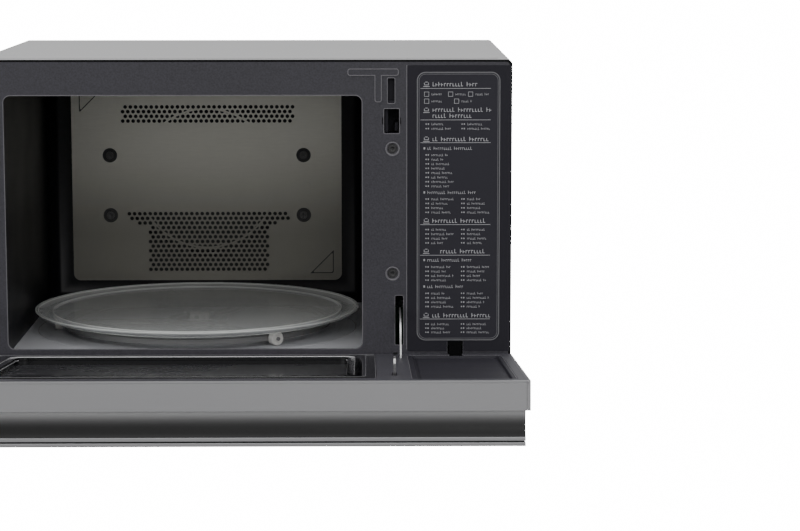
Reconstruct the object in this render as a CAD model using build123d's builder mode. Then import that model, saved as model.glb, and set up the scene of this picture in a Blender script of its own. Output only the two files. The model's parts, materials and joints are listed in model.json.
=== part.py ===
from build123d import *
import math
import os

# Drop-down-door convection microwave oven. Millimetres, +Z up, door open towards -Y.
# The origin is on the floor under the middle of the open oven's bounding box.

# overall
width = 540.0
height = 330.0
body_depth = 397.0
rear_bulge = 55.0
foot_height = 14.0
sheet = 1.0
gap = 0.3
run_fit = 0.05
corner_r = 5.0

# space between the outer faces and the cavity
left_space = 29.0
right_space = 149.0
top_space = 35.0
floor_space = 15.0
rear_space = 32.0
cavity_r = 22.0

# door and its hinge line
door_open = 84.4
hinge_out = 5.0
hinge_up = 14.0
door_face_gap = 1.0
door_thick = 27.0
door_bottom = -2.0
scoop_deep = 23.5
lip_high = 8.3

# turntable and its rollers
table_side_gap = 6.0
table_thick = 4.0
rim_high = 7.5
wheel_r = 7.2
wheel_wide = 8.0
wheel_inset = 25.0
wheel_count = 3
wheel_first = -53.6
roll_gap = 0.3
stub_r = 2.0
cool_r = 46.0

# sizes and places worked out from the values above
cavity_wide = width - left_space - right_space
cavity_deep = body_depth - rear_space
cavity_floor = foot_height + floor_space
cavity_top = height - top_space
hinge_z = foot_height + hinge_up
door_top = height - hinge_z
lean = math.radians(door_open)
handle_deep = door_thick + scoop_deep + lip_high
inner_n = hinge_out - door_face_gap
outer_n = inner_n - door_thick
reach = hinge_out + door_top * math.sin(lean) - (inner_n - handle_deep) * math.cos(lean)
face_y = -(body_depth + rear_bulge - reach) / 2
half = width / 2
rear_y = face_y + body_depth
cavity_x = -half + left_space + cavity_wide / 2
left_wall = cavity_x - cavity_wide / 2
right_wall = cavity_x + cavity_wide / 2

# cavity mouth in the front frame
mouth_lip = 2.0
mouth_left = left_wall + mouth_lip
mouth_right = right_wall - mouth_lip
mouth_low = cavity_floor + 8
mouth_high = cavity_top - 1.5
mouth_r = 7.0

# front features, right-hand set and its left-hand partner
latch_x = {"right": right_wall + 28, "left": left_wall - 13}
slot_x = {"right": right_wall + 35.5, "left": left_wall - 17}
screw_x = {"right": right_wall + 28.8, "left": left_wall - 13.8}
lug_x = {"right": slot_x["right"] - 4.0, "left": slot_x["left"] + 5.0}
screw_z = (cavity_floor + 84.5, cavity_top - 55)
latch_z = cavity_top - 27
panel_left = right_wall + 43.5

table_y = face_y + cavity_deep / 2 + 2.5
table_r = min(cavity_wide / 2 - table_side_gap, cavity_deep / 2 - table_side_gap - 1.5)
table_flat_r = table_r - 16
wheel_track_r = table_r - wheel_inset
wheel_z = cavity_floor + roll_gap + wheel_r
table_z = wheel_z + wheel_r + roll_gap

# rear opening, convection fan and cooling fan
rear_low = cavity_floor + 33
rear_high = cavity_top - 15
rear_hole = 128.0
fan_z = (cavity_floor + cavity_top) / 2 + 10
fan_x = cavity_x - 2.0
fan_r = (rear_high - rear_low) / 2 - 31
cool_x = (right_wall + half) / 2 + 4.5
cool_z = foot_height + 96

os.makedirs("parts", exist_ok=True)


def save(part, label):
    part.label = label
    export_step(part, f"parts/{label}.step")


# A plane parallel to the front face, depth behind it; its sketches read X and Z.
def behind(depth):
    return Plane.XZ.offset(-(face_y + depth))


# A plane parallel to the door, at height above the hinge line along the door's
# inner normal; its sketches read X and the distance from the hinge line.
door_s = Vector(0, -math.sin(lean), math.cos(lean))
door_n = Vector(0, math.cos(lean), math.sin(lean))
hinge_point = Vector(0, face_y - hinge_out, hinge_z)


def door_at(height_n):
    origin = hinge_point + door_n * height_n
    return Plane(origin, x_dir=(1, 0, 0), z_dir=door_n * -1)


# A plane across the door at x, facing -X; its sketches read the distance from
# the hinge line and the height along the inner normal.
def across_door(x):
    return Plane(hinge_point + Vector(x, 0, 0), x_dir=door_s, z_dir=door_s.cross(door_n))


def area(x0, x1, v0, v1, mode=Mode.ADD):
    with Locations(((x0 + x1) / 2, (v0 + v1) / 2)):
        Rectangle(x1 - x0, v1 - v0, mode=mode)


def round_area(x0, x1, v0, v1, r, mode=Mode.ADD):
    with Locations(((x0 + x1) / 2, (v0 + v1) / 2)):
        RectangleRounded(x1 - x0, v1 - v0, r, mode=mode)


def dots(points, r, mode=Mode.ADD):
    with Locations(*points):
        Circle(r, mode=mode)


# A box between two corners, with y counted from the front face.
def block(x0, x1, y0, y1, z0, z1, mode=Mode.ADD):
    with Locations(((x0 + x1) / 2, face_y + (y0 + y1) / 2, (z0 + z1) / 2)):
        Box(x1 - x0, y1 - y0, z1 - z0, mode=mode)


# ---- cabinet ----
frame_rim = 2.5
emboss_high = 0.6
emboss_side = 13.0
emboss_front = 17.0
inside_top = height - emboss_high - sheet
vent_back, vent_down = 106.0, 95.0
vent_pitch, vent_row = 9.0, 30.0

with BuildPart() as outer_cabinet:
    with BuildSketch(behind(frame_rim)):
        round_area(-half, half, foot_height, height - emboss_high, corner_r)
        area(-half, half, foot_height, foot_height + 2 * corner_r)
        round_area(-half + sheet, half - sheet, foot_height - 20, inside_top, corner_r - sheet, Mode.SUBTRACT)
    extrude(amount=-(body_depth - frame_rim - sheet))
    with BuildSketch(Plane.XY.offset(height - emboss_high - sheet / 2)):
        with Locations((0, face_y + body_depth / 2)):
            RectangleRounded(width - 2 * emboss_side, body_depth - 2 * emboss_front, 9)
    extrude(amount=sheet / 2 + emboss_high, taper=20)
    for side in (-1, 1):
        with BuildSketch(Plane.YZ.offset(side * (half - 2 * sheet))):
            with Locations((rear_y - vent_back, height - vent_down)):
                with GridLocations(vent_pitch, vent_row, 9, 3):
                    SlotOverall(22, 3.4, rotation=90)
        extrude(amount=4 * sheet * side, mode=Mode.SUBTRACT)
save(outer_cabinet.part, "outer_cabinet")

inner_half = half - sheet - gap
with BuildPart() as base_plate:
    block(-inner_half, inner_half, 16, body_depth - sheet - gap, foot_height, foot_height + sheet)
    with BuildSketch(Plane.XY.offset(foot_height)):
        with Locations((half - 78, rear_y - 129)):
            with GridLocations(14, 12, 7, 4):
                SlotOverall(10, 4)
    extrude(amount=sheet, mode=Mode.SUBTRACT)
save(base_plate.part, "base_plate")

gland_x, gland_z = -half + 45, foot_height + 46
gland_r = 5.0
grille_pitch = 9.0
fan_shaft_r = 3.0
with BuildPart() as back_panel:
    with BuildSketch(behind(body_depth)):
        round_area(-half, half, foot_height, height - emboss_high, corner_r)
        area(-half, half, foot_height, foot_height + 2 * corner_r)
        dots([(gland_x, gland_z)], gland_r, Mode.SUBTRACT)
        dots([(fan_x, fan_z)], 2 * fan_shaft_r, Mode.SUBTRACT)
        grille = [(grille_pitch * i, grille_pitch * j) for i in range(-4, 5) for j in range(-4, 5)]
        grille = [(x, z) for x, z in grille if math.hypot(x, z) < cool_r - 5]
        dots([(cool_x + x, cool_z + z) for x, z in grille], 3.2, Mode.SUBTRACT)
    extrude(amount=sheet)
save(back_panel.part, "back_panel")

cover_half, cover_low, cover_high = rear_hole + 22, rear_low - 2, rear_high + 4
with BuildPart() as rear_fan_cover:
    with BuildSketch(behind(body_depth)):
        round_area(fan_x - cover_half, fan_x + cover_half, cover_low, cover_high, 16)
    extrude(amount=-rear_bulge, taper=14)
    with BuildSketch(behind(body_depth)):
        round_area(fan_x - cover_half + 2, fan_x + cover_half - 2, cover_low + 2, cover_high - 2, 14)
    extrude(amount=-(rear_bulge - sheet), taper=14, mode=Mode.SUBTRACT)
    with BuildSketch(behind(body_depth + rear_bulge - sheet)):
        with Locations((fan_x, fan_z)):
            with GridLocations(14, 26, 11, 3):
                SlotOverall(20, 4, rotation=90)
    extrude(amount=-sheet, mode=Mode.SUBTRACT)
save(rear_fan_cover.part, "rear_fan_cover")

# ---- front frame ----
frame_plate = 1.2
pad_low, pad_high = hinge_z + 17, height - 12.5
pad_left, pad_right = panel_left + 9.5, half - 12
strap_x = (panel_left + half) / 2 - 4.0
strap_half = 6.5
strap_room = 13.0
slot_low, slot_high = hinge_z + 12.5, hinge_z + 63.0
with BuildPart() as front_frame:
    with BuildSketch(behind(0)):
        round_area(-half + 0.4, half - 0.4, foot_height, height - 0.4, corner_r)
    extrude(amount=-frame_plate)
    with BuildSketch(behind(frame_plate)):
        round_area(-inner_half, inner_half, foot_height + 1.3, inside_top - gap, corner_r - 1)
        round_area(-inner_half + 1, inner_half - 1, foot_height + 2.3, inside_top - gap - 1, 3, Mode.SUBTRACT)
    extrude(amount=-12.0)
    with BuildSketch(behind(0)):
        round_area(mouth_left, mouth_right, mouth_low, mouth_high, mouth_r)
        for side in ("right", "left"):
            x = latch_x[side]
            round_area(x - 7.5, x + 7.5, latch_z - 12.2, latch_z + 12.2, 1)
            round_area(x - 9.5, x + 9.5, latch_z - 4, latch_z + 4, 1)
            round_area(slot_x[side] - 4, slot_x[side] + 4, slot_low, slot_high, 1.5)
            dots([(screw_x[side], z) for z in screw_z], 7.4)
            area(lug_x[side] - 2.5, lug_x[side] + 2.5, foot_height, hinge_z + 4.5)
        round_area(right_wall + 24, right_wall + 31, height - 44, height - 19, 1)
        area(panel_left + 6, pad_right + 4, pad_low - 1, pad_high + 0.5)
        area(strap_x - strap_room, strap_x + strap_room, hinge_z - 6, pad_low - 0.5)
    extrude(amount=-frame_plate, mode=Mode.SUBTRACT)
    with BuildSketch(behind(0)):
        round_area(right_wall - 16, right_wall + 35, height - 16.5, height - 9.5, 2.5)
        round_area(right_wall + 11, right_wall + 18, height - 43, height - 13, 2.5)
    extrude(amount=0.7)
save(front_frame.part, "front_frame")

with BuildPart() as right_panel:
    with BuildSketch(behind(-0.05)):
        area(panel_left + gap, half - 1.2, hinge_z + 6, height - 6)
        area(strap_x - strap_room, strap_x + strap_room, hinge_z + 5, pad_low, Mode.SUBTRACT)
    extrude(amount=0.6)
    with BuildSketch(behind(-0.05)):
        area(panel_left + 6.3, pad_right + 3.7, pad_low - 0.4, pad_high + 0.2)
    extrude(amount=-6)
    with BuildSketch(behind(frame_plate + 2.5)):
        area(panel_left + 9, pad_right + 1, pad_low + 3, pad_high - 2.5)
    extrude(amount=-6, mode=Mode.SUBTRACT)
save(right_panel.part, "right_panel")

with BuildPart() as menu_pad:
    with BuildSketch(behind(-0.65)):
        round_area(pad_left, pad_right, pad_low, pad_high, 9)
    extrude(amount=0.25, taper=30)
save(menu_pad.part, "menu_pad")

# dark cups that hold the two screws of each side
with BuildPart() as screw_cups:
    for side in ("right", "left"):
        with BuildSketch(behind(0.4)):
            dots([(screw_x[side], z) for z in screw_z], 7.2)
        extrude(amount=-5)
        with BuildSketch(behind(0.4)):
            dots([(screw_x[side], z) for z in screw_z], 5.2)
        extrude(amount=-3.6, mode=Mode.SUBTRACT)
save(screw_cups.part, "screw_cups")

case_rows = (foot_height + 26, height / 2 + 5, height - 30)
case_screws_at = [(x, z) for x in (-half + 14, half - 14) for z in case_rows]
with BuildPart() as case_screws:
    for side in ("right", "left"):
        with BuildSketch(behind(4)):
            dots([(screw_x[side], z) for z in screw_z], 4.4)
            dots([(screw_x[side], z) for z in screw_z], 1.8, Mode.SUBTRACT)
        extrude(amount=2.2)
    with BuildSketch(behind(body_depth)):
        dots(case_screws_at, 4)
    extrude(amount=-2.4)
save(case_screws.part, "case_screws")

# ---- cavity ----
port = (130.0, 205.0, cavity_floor + 76, cavity_floor + 136)
lamp_y, lamp_z = 60.0, cavity_top - 80
drive_r = 6.0
with BuildPart() as cavity_shell:
    with BuildSketch(Plane.XY.offset(cavity_floor - sheet)):
        area(left_wall - sheet, right_wall + sheet, face_y + frame_plate, face_y + cavity_deep + sheet)
        fillet(vertices().group_by(Axis.Y)[-1], cavity_r + sheet)
    extrude(amount=cavity_top - cavity_floor + 2 * sheet)
    with BuildSketch(Plane.XY.offset(cavity_floor)):
        area(left_wall, right_wall, face_y, face_y + cavity_deep)
        fillet(vertices().group_by(Axis.Y)[-1], cavity_r)
    extrude(amount=cavity_top - cavity_floor, mode=Mode.SUBTRACT)
    block(right_wall - sheet, right_wall + 2 * sheet, *port, mode=Mode.SUBTRACT)
    with BuildSketch(behind(cavity_deep)):
        round_area(fan_x - rear_hole, fan_x + rear_hole, rear_low, rear_high, 12)
    extrude(amount=-sheet, mode=Mode.SUBTRACT)
    with BuildSketch(Plane.XY.offset(cavity_floor - sheet)):
        dots([(cavity_x, table_y)], drive_r + 2)
    extrude(amount=sheet, mode=Mode.SUBTRACT)
    with BuildSketch(Plane.XY.offset(cavity_top)):
        with Locations((cavity_x, table_y - 5)):
            with GridLocations(14, 14, 9, 7):
                Circle(4)
    extrude(amount=sheet, mode=Mode.SUBTRACT)
    with BuildSketch(Plane.YZ.offset(right_wall)):
        with Locations((face_y + lamp_y, lamp_z)):
            with GridLocations(6, 6, 6, 5):
                Circle(1.8)
    extrude(amount=sheet, mode=Mode.SUBTRACT)
save(cavity_shell.part, "cavity_shell")

# rows of round holes, mirrored about the middle of the plate
hole_pitch = 6.0
row_pitch = 5.4
hole_r = 2.1
plate_half = cavity_wide / 2 - 26
plate_low, plate_high = cavity_floor + 24.5, cavity_top - 5
plate_y = cavity_deep - 1.4
ring_r = min(81.0, fan_r + 3)
screw_reach = plate_half - 43.7
screw_rows = (cavity_floor + 100.4, cavity_floor + 169.8)
plate_screws = [(cavity_x + s * screw_reach, z) for s in (-1, 1) for z in screw_rows]


def perforation_rows():
    rows = []
    for i in range(4):
        rows.append((cavity_top - 56.8 + row_pitch * i, 98.0, i % 2))
    for i in range(13):
        reach_x = 95.0 if i < 2 else (82.0 if i < 3 else 67.0)
        rows.append((cavity_floor + 102 - row_pitch * i, reach_x, i % 2))
    return rows


def perforation_points():
    points = []
    for z, reach_x, odd in perforation_rows():
        count = int(reach_x / hole_pitch)
        for k in range(-count, count + 1):
            points.append((cavity_x + hole_pitch * (k + odd / 2), z))
    return points


with BuildPart() as cavity_back_plate:
    with BuildSketch(behind(plate_y)):
        round_area(cavity_x - plate_half, cavity_x + plate_half, plate_low, plate_high, 8)
    extrude(amount=-sheet)
    with BuildSketch(behind(plate_y)):
        dots(perforation_points(), hole_r)
    extrude(amount=-sheet, mode=Mode.SUBTRACT)
    with BuildSketch(behind(plate_y)):
        dots([(cavity_x, fan_z)], ring_r)
        dots([(cavity_x, fan_z)], ring_r - 1.5, Mode.SUBTRACT)
    extrude(amount=0.3)
save(cavity_back_plate.part, "cavity_back_plate")

with BuildPart() as back_plate_screws:
    with BuildSketch(behind(plate_y)):
        dots(plate_screws, 4.5)
    extrude(amount=1.6)
    with BuildSketch(behind(plate_y - 1.6)):
        for x, z in plate_screws:
            area(x - 3, x + 3, z - 0.5, z + 0.5)
            area(x - 0.5, x + 0.5, z - 3, z + 3)
    extrude(amount=-1.0, mode=Mode.SUBTRACT)
save(back_plate_screws.part, "back_plate_screws")

# ---- convection unit behind the cavity ----
chamber_deep = body_depth - cavity_deep - sheet - 6
with BuildPart() as fan_chamber:
    with BuildSketch(behind(cavity_deep + sheet)):
        round_area(fan_x - rear_hole - 6, fan_x + rear_hole + 6, rear_low - 6, rear_high + 6, 14)
    extrude(amount=-chamber_deep)
    with BuildSketch(behind(cavity_deep + sheet)):
        round_area(fan_x - rear_hole - 5, fan_x + rear_hole + 5, rear_low - 5, rear_high + 5, 13)
    extrude(amount=-(chamber_deep - sheet), mode=Mode.SUBTRACT)
    with BuildSketch(behind(body_depth - 8)):
        dots([(fan_x, fan_z)], 5)
    extrude(amount=-6, mode=Mode.SUBTRACT)
save(fan_chamber.part, "fan_chamber")

fan_y = face_y + cavity_deep + 6
fan_thick = 14.0
with BuildPart() as convection_fan:
    with BuildSketch(Plane.XZ.offset(-fan_y)):
        dots([(fan_x, fan_z)], fan_r - 16)
        dots([(fan_x, fan_z)], fan_shaft_r, Mode.SUBTRACT)
    extrude(amount=-1.0)
    with BuildSketch(Plane.XZ.offset(-fan_y)):
        with Locations((fan_x, fan_z)):
            with PolarLocations(fan_r - 34, 12):
                Rectangle(34, 1.2, rotation=25)
    extrude(amount=-fan_thick)
    with BuildSketch(Plane.XZ.offset(-fan_y)):
        dots([(fan_x, fan_z)], 9)
        dots([(fan_x, fan_z)], fan_shaft_r, Mode.SUBTRACT)
    extrude(amount=-fan_thick)
    with BuildSketch(Plane.XZ.offset(-fan_y)):
        dots([(fan_x, fan_z)], fan_shaft_r)
    extrude(amount=-(rear_y + 28 - fan_y))
save(convection_fan.part, "convection_fan")

with BuildPart() as convection_motor:
    with BuildSketch(behind(body_depth + 6)):
        dots([(fan_x, fan_z)], 32)
        dots([(fan_x, fan_z)], fan_shaft_r + run_fit, Mode.SUBTRACT)
    extrude(amount=-24)
    with BuildSketch(behind(body_depth + 30)):
        dots([(fan_x, fan_z)], 14)
    extrude(amount=-8)
    with BuildSketch(behind(body_depth + 6)):
        round_area(fan_x - 52, fan_x + 52, fan_z - 7, fan_z + 7, 6)
        dots([(fan_x, fan_z)], fan_shaft_r + run_fit, Mode.SUBTRACT)
    extrude(amount=4)
save(convection_motor.part, "convection_motor")

with BuildPart() as convection_heater:
    with BuildSketch(Plane.XZ.offset(-(fan_y + 6))):
        dots([(fan_x, fan_z)], fan_r + 15)
        dots([(fan_x, fan_z)], fan_r + 9, Mode.SUBTRACT)
    extrude(amount=-6)
    fillet(edges().filter_by(GeomType.CIRCLE), 2.6)
save(convection_heater.part, "convection_heater")

table_back = table_y - face_y
with BuildPart() as grill_heater:
    for x in (-40, -14, 12, 38):
        with Locations((cavity_x + x, table_y - 5, cavity_top + 12)):
            Cylinder(4, 150, rotation=(90, 0, 0))
    for y in (table_back - 86, table_back + 70):
        block(cavity_x - 44, cavity_x + 42, y, y + 6, cavity_top + 8, cavity_top + 16)
save(grill_heater.part, "grill_heater")

# ---- microwave source, right of the cavity ----
guide_x = right_wall + sheet
guide_low, guide_high = port[2] - 9, cavity_top - 35
guide_wall = 1.2
tube_x, tube_y, tube_z = guide_x + 36, face_y + (port[0] + port[1]) / 2 + 0.5, guide_high - 38
with BuildPart() as waveguide:
    block(guide_x, tube_x, port[0] - 8, port[1] + 9, guide_low, guide_high)
    block(guide_x - sheet, tube_x - guide_wall, port[0] - 8 + guide_wall, port[1] + 9 - guide_wall,
          guide_low + guide_wall, guide_high - guide_wall, mode=Mode.SUBTRACT)
    with BuildSketch(Plane.YZ.offset(tube_x - 6)):
        dots([(tube_y, tube_z)], 11)
    extrude(amount=10, mode=Mode.SUBTRACT)
save(waveguide.part, "waveguide")

with BuildPart() as waveguide_cover:
    block(right_wall - 0.8, right_wall, port[0] - 8, port[1] + 8, port[2] - 8, port[3] + 8)
save(waveguide_cover.part, "waveguide_cover")

with BuildPart() as magnetron:
    block(tube_x, tube_x + 78, 128, 208, tube_z - 32, tube_z + 32)
    for i in range(6):
        fin_z = tube_z - 25 + 9 * i
        block(tube_x + 12, tube_x + 70, 127, 209, fin_z, fin_z + 5, mode=Mode.SUBTRACT)
    with BuildSketch(Plane.YZ.offset(tube_x + 12)):
        dots([(tube_y, tube_z)], 18)
    extrude(amount=58)
    with BuildSketch(Plane.YZ.offset(tube_x)):
        dots([(tube_y, tube_z)], 8)
    extrude(amount=-22)
save(magnetron.part, "magnetron")

board_x, board_z = right_wall + 14, foot_height + 10
with BuildPart() as inverter_board:
    block(board_x, board_x + 125, 70, 220, board_z, board_z + 2)
    block(board_x + 10, board_x + 50, 90, 130, board_z + 2, board_z + 42)
    block(board_x + 65, board_x + 77, 85, 205, board_z + 2, board_z + 36)
    block(board_x + 87, board_x + 115, 150, 190, board_z + 2, board_z + 28)
    for y in (80, 210):
        for x in (board_x + 7, board_x + 118):
            block(x - 3, x + 3, y - 3, y + 3, foot_height + sheet, board_z)
save(inverter_board.part, "inverter_board")

cool_shaft_r = 2.5
cool_half = cool_r + 8
with BuildPart() as cooling_shroud:
    block(cool_x - cool_half, cool_x + cool_half, body_depth - 30, body_depth - sheet - 0.2,
          cool_z - cool_half, cool_z + cool_half)
    with BuildSketch(behind(body_depth - 30)):
        dots([(cool_x, cool_z)], cool_r + 2)
    extrude(amount=-30, mode=Mode.SUBTRACT)
save(cooling_shroud.part, "cooling_shroud")

with BuildPart() as cooling_fan:
    with BuildSketch(behind(body_depth - 26)):
        dots([(cool_x, cool_z)], 14)
        dots([(cool_x, cool_z)], cool_shaft_r + run_fit, Mode.SUBTRACT)
        with Locations((cool_x, cool_z)):
            with PolarLocations(cool_r - 18, 7):
                Rectangle(32, 13, rotation=12)
    extrude(amount=-16)
save(cooling_fan.part, "cooling_fan")

with BuildPart() as cooling_motor:
    with BuildSketch(behind(body_depth - 30)):
        dots([(cool_x, cool_z)], cool_shaft_r)
    extrude(amount=-18)
    with BuildSketch(behind(body_depth - 30)):
        dots([(cool_x, cool_z)], 20)
    extrude(amount=22)
    block(cool_x - cool_half + 2, cool_x + cool_half - 2, body_depth - 34, body_depth - 30,
          cool_z - 6, cool_z + 6)
save(cooling_motor.part, "cooling_motor")

with BuildPart() as air_duct:
    block(tube_x + 2, half - 6, 214, body_depth - 67, guide_high - 84, guide_high + 2)
    block(tube_x + 3.5, half - 7.5, 213, body_depth - 66, guide_high - 82.5, guide_high + 0.5,
          mode=Mode.SUBTRACT)
save(air_duct.part, "air_duct")

with BuildPart() as cavity_lamp:
    with Locations((right_wall + 16, face_y + lamp_y, lamp_z)):
        Cylinder(9, 26, rotation=(0, 90, 0))
    with Locations((right_wall + 33, face_y + lamp_y, lamp_z)):
        Cylinder(12, 8, rotation=(0, 90, 0))
save(cavity_lamp.part, "cavity_lamp")

# ---- latch boards and hinge brackets ----
with BuildPart() as latch_boards:
    for x in latch_x.values():
        block(x - 10, x + 10, frame_plate, 36, latch_z - 20, latch_z + 20)
        block(x - 8, x + 8, 0, 30, latch_z - 14, latch_z + 14, mode=Mode.SUBTRACT)
save(latch_boards.part, "latch_boards")

with BuildPart() as interlock_switches:
    for x in latch_x.values():
        block(x - 8, x + 8, 36, 46, latch_z - 16, latch_z - 4)
        block(x - 8, x + 8, 36, 46, latch_z + 2, latch_z + 14)
save(interlock_switches.part, "interlock_switches")

pin_y = face_y - hinge_out
lug_wide = 3.0
barrel_r = 3.3
pin_r = 1.6
arm_thick = 2.4
arm_mid = 48.0
arm_wide = 8.0
arm_sweep = 100.0
arm_x = {side: slot_x[side] + 0.8 for side in slot_x}
pin_long = 15.0

with BuildPart() as hinge_brackets:
    for x in lug_x.values():
        with BuildSketch(Plane.YZ.offset(x - lug_wide / 2)):
            with Locations((pin_y, hinge_z)):
                Circle(barrel_r)
            with BuildLine():
                Polyline((pin_y - 2.4, hinge_z - 2.2), (face_y + 1, hinge_z - 9), (face_y + 56, hinge_z - 9),
                         (face_y + 56, hinge_z - 2), (face_y + 1, hinge_z - 1), (pin_y + 1, hinge_z + 3.1),
                         close=True)
            make_face()
            with Locations((pin_y, hinge_z)):
                Circle(pin_r + run_fit, mode=Mode.SUBTRACT)
        extrude(amount=lug_wide)
        block(x - 4, x + 1.5, 18, 56, foot_height + sheet, hinge_z - 9)
save(hinge_brackets.part, "hinge_brackets")

# ---- turntable drive ----
with BuildPart() as turntable_motor:
    with BuildSketch(Plane.XY.offset(foot_height + sheet)):
        dots([(cavity_x, table_y)], 24)
    extrude(amount=cavity_floor - foot_height - 2 * sheet - 0.4)
save(turntable_motor.part, "turntable_motor")

with BuildPart() as drive_coupling:
    with BuildSketch(Plane.XY.offset(cavity_floor - sheet)):
        dots([(cavity_x, table_y)], drive_r)
    extrude(amount=table_z - cavity_floor + sheet)
    with BuildSketch(Plane.XY.offset(cavity_floor + 1)):
        with Locations((cavity_x, table_y)):
            Circle(9)
            with PolarLocations(9, 3):
                Circle(4)
    extrude(amount=table_z - cavity_floor - 1)
save(drive_coupling.part, "drive_coupling")

with BuildPart() as turntable_plate:
    with BuildSketch(Plane.XZ):
        with BuildLine():
            Polyline((0, table_z), (table_r - 12, table_z), (table_r - 2, table_z + 3.5),
                     (table_r, table_z + rim_high), (table_r - 3.5, table_z + rim_high),
                     (table_flat_r + 3, table_z + table_thick), (0, table_z + table_thick), close=True)
        make_face()
    revolve(axis=Axis.Z)
    with BuildSketch(Plane.XY.offset(table_z)):
        Circle(19)
        Circle(15.5, mode=Mode.SUBTRACT)
        with PolarLocations(17, 3, start_angle=60):
            Rectangle(8, 40, mode=Mode.SUBTRACT)
    extrude(amount=-4)
table_plate = turntable_plate.part.moved(Location((cavity_x, table_y, 0)))
save(table_plate, "turntable_plate")

ring_out = wheel_track_r - wheel_wide / 2 - 1.0
ring_in = ring_out - 9
hub_in = 24.0
with BuildPart() as roller_ring:
    with BuildSketch(Plane.XY.offset(wheel_z - 2.5)):
        Circle(ring_out)
        Circle(ring_in, mode=Mode.SUBTRACT)
        with PolarLocations((ring_in + hub_in) / 2 + 1, wheel_count, start_angle=wheel_first):
            Rectangle(ring_in - hub_in + 1, 9)
        Circle(hub_in + 8)
        Circle(hub_in, mode=Mode.SUBTRACT)
    extrude(amount=5)
    for i in range(wheel_count):
        turn = wheel_first + i * 360 / wheel_count
        stub = Plane((0, 0, wheel_z), x_dir=(0, 0, 1),
                     z_dir=(math.cos(math.radians(turn)), math.sin(math.radians(turn)), 0))
        with BuildSketch(stub.offset(ring_out - 3)):
            Circle(stub_r)
        extrude(amount=wheel_wide + 5.5)
save(roller_ring.part.moved(Location((cavity_x, table_y, 0))), "roller_ring")

for i in range(wheel_count):
    turn = wheel_first + i * 360 / wheel_count
    stub = Plane((0, 0, wheel_z), x_dir=(0, 0, 1),
                 z_dir=(math.cos(math.radians(turn)), math.sin(math.radians(turn)), 0))
    with BuildPart() as roller_wheel:
        with BuildSketch(stub.offset(wheel_track_r - wheel_wide / 2)):
            Circle(wheel_r)
            Circle(stub_r + run_fit, mode=Mode.SUBTRACT)
        extrude(amount=wheel_wide)
        chamfer(edges().filter_by(GeomType.CIRCLE).sort_by(SortBy.RADIUS)[-2:], 0.8)
    save(roller_wheel.part.moved(Location((cavity_x, table_y, 0))), f"roller_wheel_{i + 1}")

# ---- small hardware ----
feet_at = [(sx * (half - 45), face_y + y) for sx in (-1, 1) for y in (45, body_depth - 45)]
with BuildPart() as feet:
    with BuildSketch(Plane.XY):
        dots(feet_at, 12)
    extrude(amount=foot_height)
    chamfer(edges().group_by(Axis.Z)[0], 1.5)
save(feet.part, "feet")

with BuildPart() as cord_gland:
    with BuildSketch(behind(body_depth)):
        dots([(gland_x, gland_z)], gland_r + 4)
    extrude(amount=-4)
    with BuildSketch(behind(body_depth)):
        dots([(gland_x, gland_z)], gland_r)
    extrude(amount=4)
    with BuildSketch(behind(body_depth + 4)):
        dots([(gland_x, gland_z)], 3.2)
    extrude(amount=8, mode=Mode.SUBTRACT)
save(cord_gland.part, "cord_gland")

with BuildPart() as harness_strap:
    block(strap_x - strap_half - 1, strap_x + strap_half + 1, 0.2, 1.8, hinge_z + 5, pad_low - 0.7)
    block(strap_x - strap_half, strap_x + strap_half, 1.8, 40, hinge_z + 12, pad_low - 0.7)
save(harness_strap.part, "harness_strap")

# ---- door ----
trim = 4.2
door_side = half - trim
window_left = left_wall + 1.0
window_right = right_wall - 1.0
choke_left = left_wall - 11.0
choke_right = right_wall + 11.0
choke_low, choke_high = 6.0, mouth_high - hinge_z + 8.5
tray_left, tray_right = panel_left - 0.5, half - 10.5
tray_low, tray_high = 14.0, door_top - 19
board_left, board_right = tray_left + 8, tray_right - 3.5
window_low, window_high = choke_low + 28, choke_high - 28
slit_half = 2.2
slit = {side: (latch_x[side] - slit_half, latch_x[side] + slit_half) for side in latch_x}
hook_s = latch_z - hinge_z - 4
slit_low, slit_high = hook_s - 24, hook_s + 12
notch_half = lug_wide / 2 + 0.4
arm_half = arm_thick / 2 + gap
frame_skin = 3.0
glass_thick = 4.0


# Notches through the door's lower edge for the hinge lugs and slits for the arms.
def hinge_cuts(top_n):
    with BuildSketch(door_at(top_n)) as cuts:
        for side in ("right", "left"):
            area(lug_x[side] - notch_half, lug_x[side] + notch_half, door_bottom - 1, 6.5)
            area(arm_x[side] - arm_half, arm_x[side] + arm_half, arm_mid - 6, arm_mid + 6)
            area(slit[side][0], slit[side][1], slit_low, slit_high)
    return cuts.sketch


with BuildPart() as door_inner_frame:
    with BuildSketch(door_at(inner_n)):
        area(-door_side, door_side, door_bottom, door_top - 4)
        area(choke_left - gap, choke_right + gap, choke_low - gap, choke_high + gap, Mode.SUBTRACT)
        area(tray_left, tray_right, tray_low, tray_high, Mode.SUBTRACT)
        area(strap_x - strap_half, strap_x + strap_half, door_bottom - 1, tray_low + 1, Mode.SUBTRACT)
    extrude(amount=frame_skin)
    with BuildSketch(door_at(inner_n - frame_skin)):
        area(-door_side, door_side, door_bottom, door_top - 4)
        area(-door_side + 2, door_side - 2, door_bottom + 7, door_top - 6, Mode.SUBTRACT)
    extrude(amount=door_thick - frame_skin - glass_thick - 0.5)
    extrude(hinge_cuts(inner_n), amount=door_thick - glass_thick - 0.4, mode=Mode.SUBTRACT)
    for side in ("right", "left"):
        with Locations(hinge_point + Vector(lug_x[side], 0, 0)):
            Cylinder(pin_r, pin_long, rotation=(0, 90, 0), mode=Mode.SUBTRACT)
save(door_inner_frame.part, "door_inner_frame")

with BuildPart() as hinge_pins:
    for x in lug_x.values():
        with Locations(hinge_point + Vector(x, 0, 0)):
            Cylinder(pin_r, pin_long, rotation=(0, 90, 0))
save(hinge_pins.part, "hinge_pins")

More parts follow.
